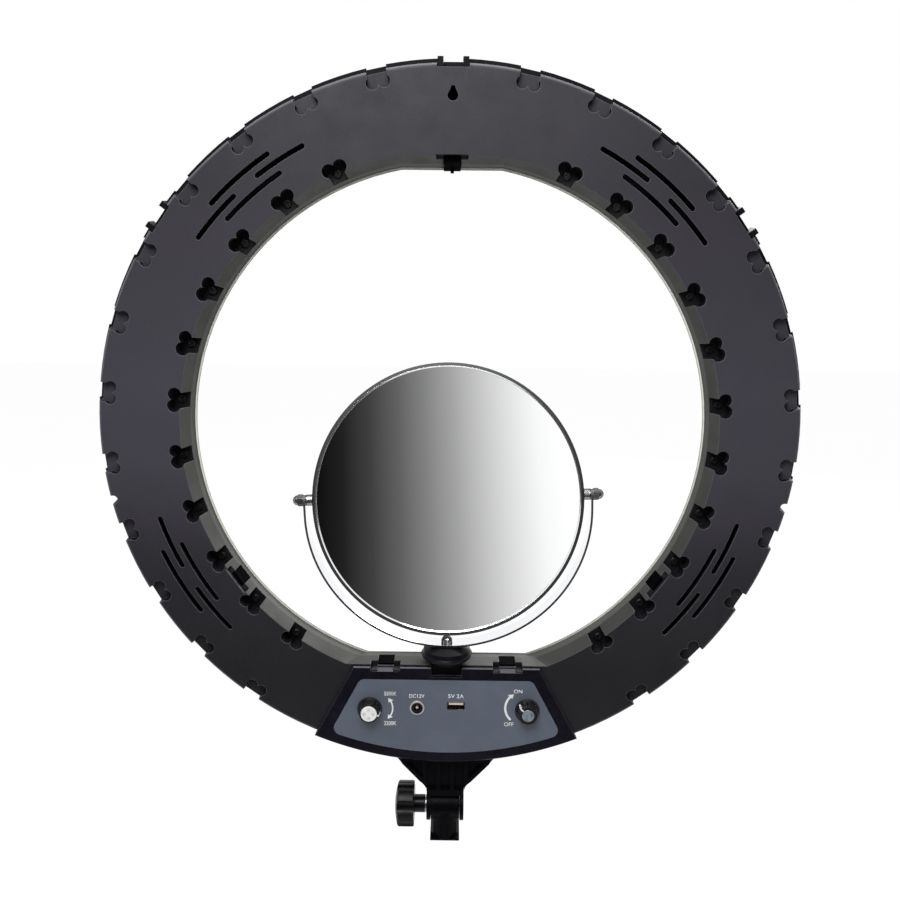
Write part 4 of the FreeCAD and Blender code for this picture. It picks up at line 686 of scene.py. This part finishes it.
def add_world():
    """White for what the camera, gloss and glass see, and a soft grey for the object's light."""
    scene = bpy.context.scene
    scene.view_settings.view_transform = "Standard"
    world = bpy.data.worlds.new("studio_world")
    scene.world = world
    world.use_nodes = True
    tree = world.node_tree
    ambient = 0.14
    background = tree.nodes["Background"]
    background.inputs["Color"].default_value = (1.0, 1.0, 1.0, 1.0)
    seen = seen_ray(tree)
    strength = tree.nodes.new("ShaderNodeMapRange")
    tree.links.new(seen, strength.inputs["Value"])
    strength.inputs["To Min"].default_value = ambient
    strength.inputs["To Max"].default_value = 1.0
    tree.links.new(strength.outputs["Result"], background.inputs["Strength"])


def seen_ray(tree):
    """One for camera, glossy and transmission rays."""
    path = tree.nodes.new("ShaderNodeLightPath")
    total = path.outputs["Is Camera Ray"]
    for name in ("Is Glossy Ray", "Is Transmission Ray"):
        node = tree.nodes.new("ShaderNodeMath")
        node.operation = "MAXIMUM"
        tree.links.new(total, node.inputs[0])
        tree.links.new(path.outputs[name], node.inputs[1])
        total = node.outputs["Value"]
    return total


def add_floor(drop):
    """Floor that is white to the camera and pale grey to the object's light."""
    floor_material = bpy.data.materials.new("pale_floor")
    floor_material.use_nodes = True
    tree = floor_material.node_tree
    glowing_share = 0.95
    diffuse = tree.nodes["Principled BSDF"]
    diffuse.inputs["Base Color"].default_value = (0.86, 0.86, 0.86, 1.0)
    diffuse.inputs["Roughness"].default_value = 0.9
    diffuse.inputs["Specular IOR Level"].default_value = 0.0
    glow = tree.nodes.new("ShaderNodeEmission")
    mix = tree.nodes.new("ShaderNodeMixShader")
    share = tree.nodes.new("ShaderNodeMath")
    share.operation = "MULTIPLY"
    share.inputs[1].default_value = glowing_share
    glow.inputs["Strength"].default_value = 1.03
    tree.links.new(seen_ray(tree), share.inputs[0])
    tree.links.new(share.outputs["Value"], mix.inputs["Fac"])
    tree.links.new(diffuse.outputs["BSDF"], mix.inputs[1])
    tree.links.new(glow.outputs["Emission"], mix.inputs[2])
    tree.links.new(mix.outputs["Shader"], tree.nodes["Material Output"].inputs["Surface"])
    half = 6.0
    corners = [(-half, -half, -drop), (half, -half, -drop), (half, half, -drop), (-half, half, -drop)]
    add_stage_mesh("floor", corners, [(0, 1, 2, 3)], floor_material)


def add_stage_mesh(name, corners, faces, material):
    """Adds a mesh that belongs to the studio and not to the object."""
    mesh = bpy.data.meshes.new(name)
    mesh.from_pydata(corners, [], faces)
    mesh.materials.append(material)
    stage = bpy.data.objects.new(name, mesh)
    bpy.context.scene.collection.objects.link(stage)
    return stage


def glossy_only(stage):
    """A card that only reflections see."""
    stage.visible_camera = False
    stage.visible_diffuse = False
    stage.visible_transmission = False
    stage.visible_volume_scatter = False
    stage.visible_shadow = False


def add_lamp(name, place, target, energy, size):
    """A square soft lamp that looks at the target and that the camera doesn't see."""
    data = bpy.data.lights.new(name, "AREA")
    data.energy = energy
    data.size = size
    lamp = bpy.data.objects.new(name, data)
    lamp.location = place
    lamp.rotation_euler = (target - Vector(place)).to_track_quat("-Z", "Y").to_euler()
    lamp.visible_camera = False
    bpy.context.scene.collection.objects.link(lamp)


def add_gradient_card():
    """Card behind the camera, dark at its left and white at its right, for the mirror."""
    material = bpy.data.materials.new("gradient_card")
    material.use_nodes = True
    tree = material.node_tree
    tree.nodes.remove(tree.nodes["Principled BSDF"])
    half = 0.215
    depth, low, high = -0.62, 0.19, 0.67
    place = tree.nodes.new("ShaderNodeTexCoord")
    lean = tree.nodes.new("ShaderNodeMapping")
    split = tree.nodes.new("ShaderNodeSeparateXYZ")
    across = tree.nodes.new("ShaderNodeMapRange")
    ramp = tree.nodes.new("ShaderNodeValToRGB")
    glow = tree.nodes.new("ShaderNodeEmission")
    lean.inputs["Location"].default_value = (-0.03, 0.0, 0.0)
    lean.inputs["Rotation"].default_value = (0.0, math.radians(4.0), 0.0)
    across.inputs["From Min"].default_value = -half
    across.inputs["From Max"].default_value = half
    levels = (0.004, 0.016, 0.053, 0.122, 0.232, 0.378, 0.575, 0.775, 0.975, 1.06)
    stops = ramp.color_ramp.elements
    stops.remove(stops[1])
    for step, level in enumerate(levels):
        position = step / len(levels)
        stop = stops[0] if step == 0 else stops.new(position)
        stop.position = position
        stop.color = (level, level, level, 1.0)
    tree.links.new(place.outputs["Object"], lean.inputs["Vector"])
    tree.links.new(lean.outputs["Vector"], split.inputs["Vector"])
    tree.links.new(split.outputs["X"], across.inputs["Value"])
    tree.links.new(across.outputs["Result"], ramp.inputs["Fac"])
    tree.links.new(ramp.outputs["Color"], glow.inputs["Color"])
    tree.links.new(glow.outputs["Emission"], tree.nodes["Material Output"].inputs["Surface"])
    corners = [(-half, depth, low), (half, depth, low), (half, depth, high), (-half, depth, high)]
    glossy_only(add_stage_mesh("gradient_card", corners, [(0, 1, 2, 3)], material))


def add_dark_tent(floor_drop):
    """Dark cloth over, beside and behind the camera, which draws the dark outlines in the chrome."""
    material = bpy.data.materials.new("dark_tent")
    material.use_nodes = True
    tree = material.node_tree
    tree.nodes.remove(tree.nodes["Principled BSDF"])
    glow = tree.nodes.new("ShaderNodeEmission")
    glow.inputs["Color"].default_value = (0.090, 0.080, 0.076, 1.0)
    tree.links.new(glow.outputs["Emission"], tree.nodes["Material Output"].inputs["Surface"])
    radius, count = 1.1, 48
    near, far = -1.6, -0.3
    clear_of_floor = 0.01
    lowest = clear_of_floor - floor_drop
    corners = []
    for step in range(count):
        turn = 2.0 * math.pi * step / count
        height = max(lowest, RING_CENTRE.z + radius * math.sin(turn))
        for depth in (near, far):
            corners.append((radius * math.cos(turn), depth, height))
    faces = [tuple(range(0, 2 * count, 2))]
    for step in range(count):
        follow = (step + 1) % count
        faces.append((2 * step, 2 * follow, 2 * follow + 1, 2 * step + 1))
    glossy_only(add_stage_mesh("dark_tent", corners, faces, material))


class RINGLIGHT_OT_housing(bpy.types.Operator):
    """Finish the moulded back, the rim and the clips"""

    bl_idname = "ring_light.housing"
    bl_label = "Housing"

    def execute(self, context):
        colours = context.scene.ring_light_colours
        sizes = context.scene.ring_light_sizes
        dress(housing_finish(colours, sizes), "rear_cover")
        dress(satin_black_finish("rim_moulding", shade(colours.housing, 0.2), 0.5, 0.06), "front_rim")
        # Painted shade: the clips are near black, as the shade in their windows.
        dress(satin_black_finish("clip_moulding", shade(colours.recess_shade, 0.3), 0.7, 0.01), "inner_clips")
        screw = satin_black_finish("black_screw", (0.006, 0.006, 0.007), 0.35, 0.3)
        dress(screw, "cover_screws", "arm_screws")
        return {"FINISHED"}


class RINGLIGHT_OT_light_engine(bpy.types.Operator):
    """Finish the diffuser, the light board and its two colours of chip"""

    bl_idname = "ring_light.light_engine"
    bl_label = "Light Engine"

    def execute(self, context):
        colours = context.scene.ring_light_colours
        dress(diffuser_finish(colours), "diffuser")
        lacquer, run = (0.80, 0.81, 0.80), (0.66, 0.68, 0.66)
        # Painted shade: the light board's back is near black, so the vents look dark.
        white = board_finish("white_board", lacquer, run, 3.0 * MM, colours.recess_shade, 0.08)
        dress(white, "led_board")
        dress(chip_finish("daylight_chip", (0.85, 0.80, 0.42)), "daylight_leds")
        dress(chip_finish("warm_chip", (0.86, 0.50, 0.12)), "warm_leds")
        return {"FINISHED"}


class RINGLIGHT_OT_panel(bpy.types.Operator):
    """Finish the control panel's frame and film, and print its scales"""

    bl_idname = "ring_light.panel"
    bl_label = "Control Panel"

    def execute(self, context):
        colours = context.scene.ring_light_colours
        sizes = context.scene.ring_light_sizes
        # Painted highlights on the panel's edges and painted light on its faces that look back and up.
        gloss = satin_black_finish(
            "panel_gloss", colours.panel, 0.3, 0.12, edge=colours.edge, slope=(0.13, 0.125, 0.145)
        )
        dress(gloss, "control_panel")
        dress(film_finish(colours), "panel_label")
        dress(steel_finish("zinc_screw", (0.50, 0.50, 0.52)), "panel_screws")
        print_scales(sizes, ink_finish(colours))
        return {"FINISHED"}


def print_scales(sizes, ink):
    """White print: colour temperatures, ratings of the sockets, and the brightness arrow."""
    front = LABEL_FACE - sizes.ink_height
    back = LABEL_FACE
    shape = bmesh.new()
    # Text, its middle across and up, its width and its height
    words = (
        ("5500K", LEFT_KNOB.x + 15.7 * MM, LEFT_KNOB.z + 12.5 * MM, 9.4 * MM, 3.3 * MM),
        ("3200K", LEFT_KNOB.x + 15.6 * MM, LEFT_KNOB.z - 11.8 * MM, 9.4 * MM, 3.3 * MM),
        ("DC12V", POWER_INLET.x - 0.3 * MM, POWER_INLET.z + 9.2 * MM, 11.6 * MM, 3.0 * MM),
        ("5V 2A", USB_PORT.x, USB_PORT.z + 8.0 * MM, 12.1 * MM, 3.1 * MM),
        ("ON", RIGHT_KNOB.x - 7.3 * MM, RIGHT_KNOB.z + 15.6 * MM, 6.5 * MM, 3.0 * MM),
        ("OFF", RIGHT_KNOB.x - 13.8 * MM, RIGHT_KNOB.z - 11.4 * MM, 7.2 * MM, 3.3 * MM),
    )
    for text, x, z, width, height in words:
        add_words(shape, text, x, z, width, height, front, back)
    left = (LEFT_KNOB.x + 5.5 * MM, LEFT_KNOB.z + 0.65 * MM)
    right = (RIGHT_KNOB.x - 3.5 * MM, RIGHT_KNOB.z + 2.0 * MM)
    add_arc_arrow(
        shape, left, 12.0 * MM, start=-47.0, end=44.0, width=sizes.double_arrow_width,
        head=3.4 * MM, heads=(True, True), front=front, back=back
    )
    add_arc_arrow(
        shape, right, 13.3 * MM, start=227.0, end=121.0, width=sizes.arrow_width,
        head=3.8 * MM, heads=(False, True), front=front, back=back
    )
    bmesh.ops.recalc_face_normals(shape, faces=shape.faces)
    mesh = bpy.data.meshes.new("panel_print")
    shape.to_mesh(mesh)
    shape.free()
    new_piece("panel_print", mesh, ink, "head")


class RINGLIGHT_OT_controls(bpy.types.Operator):
    """Finish the two knobs and the rotary controls behind them"""

    bl_idname = "ring_light.controls"
    bl_label = "Knobs"

    def execute(self, context):
        colours = context.scene.ring_light_colours
        knob = satin_black_finish("knob_gloss", colours.knob, 0.25, 0.9, 0.4 * MM)
        dress(knob, "temperature_knob", "brightness_knob")
        # The two caps are one kind of turned metal: the pale left cap is painted bright reflection, the
        # dark right cap painted dark reflection.
        pale, dark = (1.0, 0.99, 0.98), (0.32, 0.36, 0.42)
        left = spun_metal_finish("left_cap_metal", pale, LEFT_KNOB, metallic=0.0, spots=True)
        dress(left, "temperature_knob_cap")
        right = spun_metal_finish("right_cap_metal", dark, RIGHT_KNOB, 0.12, 0.4, reflection_blotch=1.0)
        dress(right, "brightness_knob_cap")
        dress(ink_finish(colours), "temperature_pointer", "brightness_pointer")
        dress(steel_finish("pot_can", (0.62, 0.62, 0.63), 0.28), "temperature_pot", "brightness_pot")
        shaft = steel_finish("pot_shaft", (0.70, 0.70, 0.71), 0.24)
        dress(shaft, "temperature_shaft", "brightness_shaft")
        dress(plated_finish("pot_nut_plate", (0.66, 0.65, 0.62), 0.16), "pot_nuts")
        return {"FINISHED"}


class RINGLIGHT_OT_sockets(bpy.types.Operator):
    """Finish the power inlet and the USB port, and add the port's contacts"""

    bl_idname = "ring_light.sockets"
    bl_label = "Sockets"

    def execute(self, context):
        colours = context.scene.ring_light_colours
        sizes = context.scene.ring_light_sizes
        dress(satin_black_finish("inlet_moulding", (0.010, 0.010, 0.011), 0.45), "dc_jack_body")
        dress(spun_metal_finish("inlet_nut_metal", (0.62, 0.60, 0.57), POWER_INLET), "dc_jack_nut")
        dress(spun_metal_finish("inlet_pin_metal", (0.95, 0.85, 0.68), POWER_INLET), "dc_jack_pin")
        dress(plated_finish("port_shell_plate", (0.34, 0.27, 0.20), 0.24), "usb_shell")
        dress(satin_black_finish("port_tongue_moulding", colours.tongue, 0.45), "usb_tongue")
        add_contacts(sizes)
        return {"FINISHED"}


def add_contacts(sizes):
    """Four gilt strips under the port's tongue."""
    shape = bmesh.new()
    count = 4
    pitch = (TONGUE_HIGH.x - TONGUE_LOW.x) / (count + 0.6)
    middle = (TONGUE_HIGH.x + TONGUE_LOW.x) / 2.0
    high = TONGUE_LOW.z
    low = high - 0.12 * MM
    front = TONGUE_LOW.y + 0.6 * MM
    back = TONGUE_HIGH.y - 0.4 * MM
    half = sizes.contact_width / 2.0
    for step in range(count):
        x = middle + (step - (count - 1) / 2.0) * pitch
        outline = [(x - half, low), (x + half, low), (x + half, high), (x - half, high)]
        add_sheet(shape, outline, front, back)
    bmesh.ops.bevel(shape, geom=list(shape.edges), offset=0.03 * MM, segments=2, affect="EDGES")
    bmesh.ops.recalc_face_normals(shape, faces=shape.faces)
    mesh = bpy.data.meshes.new("usb_contacts")
    shape.to_mesh(mesh)
    shape.free()
    gilt = plated_finish("gilt_contact", (0.83, 0.60, 0.26), 0.15)
    new_piece("usb_contacts", mesh, gilt, "head")


class RINGLIGHT_OT_driver(bpy.types.Operator):
    """Finish the dimmer's board and what is on it"""

    bl_idname = "ring_light.driver"
    bl_label = "Driver"

    def execute(self, context):
        green = board_finish("green_board", (0.02, 0.16, 0.06), (0.05, 0.28, 0.12), 2.2 * MM)
        dress(green, "driver_board")
        dress(satin_black_finish("component_case", (0.012, 0.012, 0.014), 0.35), "driver_components")
        dress(satin_black_finish("lead_sleeve", (0.35, 0.02, 0.015), 0.5), "output_leads")
        dress(steel_finish("board_screw", (0.55, 0.55, 0.56)), "board_screws")
        return {"FINISHED"}


class RINGLIGHT_OT_bracket(bpy.types.Operator):
    """Finish the arm, the stand socket, the hand knobs and the tilt clamp"""

    bl_idname = "ring_light.bracket"
    bl_label = "Bracket"

    def execute(self, context):
        colours = context.scene.ring_light_colours
        dress(satin_black_finish("arm_gloss", colours.bracket, 0.36, 0.04), "mount_arm", "stand_socket")
        hand_knob = satin_black_finish("hand_knob_gloss", colours.bracket, 0.3, 0.14)
        dress(hand_knob, "tilt_knob", "stud_lock_knob")
        clamp = steel_finish("clamp_steel", (0.30, 0.30, 0.31))
        dress(clamp, "tilt_bolt", "tilt_nut", "tilt_washer", "stud_lock_screw")
        return {"FINISHED"}


class RINGLIGHT_OT_mirror(bpy.types.Operator):
    """Finish the make-up mirror, its yoke and the bowl below"""

    bl_idname = "ring_light.mirror"
    bl_label = "Mirror"

    def execute(self, context):
        colours = context.scene.ring_light_colours
        chrome = colours.chrome
        # Painted reflections: dark bands on the frame, yoke, dome nut and pivots, and the pivots' chrome
        # darkened to 0.4.
        rim = plated_finish("frame_chrome", chrome, axis=MIRROR_FACE, line=(0.81, 0.90), dark=0.10)
        dress(rim, "mirror_frame")
        strap = plated_finish("yoke_chrome", chrome, axis=BACKWARD, line=(0.50, 1.0), dark=0.14)
        dress(strap, "mirror_yoke")
        dress(plated_finish("dome_chrome", chrome, axis=BACKWARD, line=(0.0, 0.75)), "yoke_dome_nut")
        pivots = plated_finish(
            "pivot_chrome", shade(chrome, 0.40), 0.25, axis=BACKWARD, line=(0.0, 0.6), dark=0.3
        )
        dress(pivots, "pivot_spacers", "pivot_washers", "pivot_cap_nuts", "mirror_pins")
        dress(mirror_finish(), "mirror_glass_plain", "mirror_glass_magnifying")
        dress(satin_black_finish("mirror_core_moulding", (0.10, 0.10, 0.10), 0.5), "mirror_core")
        bowl = satin_black_finish("bowl_moulding", (0.005, 0.005, 0.007), 0.36, 0.08)
        dress(bowl, "mirror_base", "mirror_foot")
        dress(steel_finish("base_screw_steel", (0.5, 0.5, 0.51)), "base_screw")
        return {"FINISHED"}


class RINGLIGHT_PT_sidebar(bpy.types.Panel):
    """Lists the steps and the settings"""

    bl_idname = "RINGLIGHT_PT_sidebar"
    bl_label = "Ring Light"
    bl_space_type = "VIEW_3D"
    bl_region_type = "UI"
    bl_category = "Ring Light"

    def draw(self, context):
        layout = self.layout
        for operator in OPERATORS:
            layout.operator(operator.bl_idname)
        for settings in (
            context.scene.ring_light_colours,
            context.scene.ring_light_sizes,
            context.scene.ring_light_studio,
        ):
            box = layout.box()
            for name in settings.bl_rna.properties.keys():
                if name not in ("rna_type", "name"):
                    box.prop(settings, name)


OPERATORS = (
    RINGLIGHT_OT_studio,
    RINGLIGHT_OT_housing,
    RINGLIGHT_OT_light_engine,
    RINGLIGHT_OT_panel,
    RINGLIGHT_OT_controls,
    RINGLIGHT_OT_sockets,
    RINGLIGHT_OT_driver,
    RINGLIGHT_OT_bracket,
    RINGLIGHT_OT_mirror,
)
SETTINGS = (RingLightColours, RingLightSizes, RingLightStudio)


def register():
    for item in SETTINGS + OPERATORS + (RINGLIGHT_PT_sidebar,):
        bpy.utils.register_class(item)
    bpy.types.Scene.ring_light_colours = PointerProperty(type=RingLightColours)
    bpy.types.Scene.ring_light_sizes = PointerProperty(type=RingLightSizes)
    bpy.types.Scene.ring_light_studio = PointerProperty(type=RingLightStudio)


def unregister():
    del bpy.types.Scene.ring_light_studio
    del bpy.types.Scene.ring_light_sizes
    del bpy.types.Scene.ring_light_colours
    for item in reversed(SETTINGS + OPERATORS + (RINGLIGHT_PT_sidebar,)):
        bpy.utils.unregister_class(item)


def main():
    register()
    for operator in OPERATORS:
        getattr(bpy.ops.ring_light, operator.bl_idname.split(".")[1])()


if __name__ == "__main__":
    main()
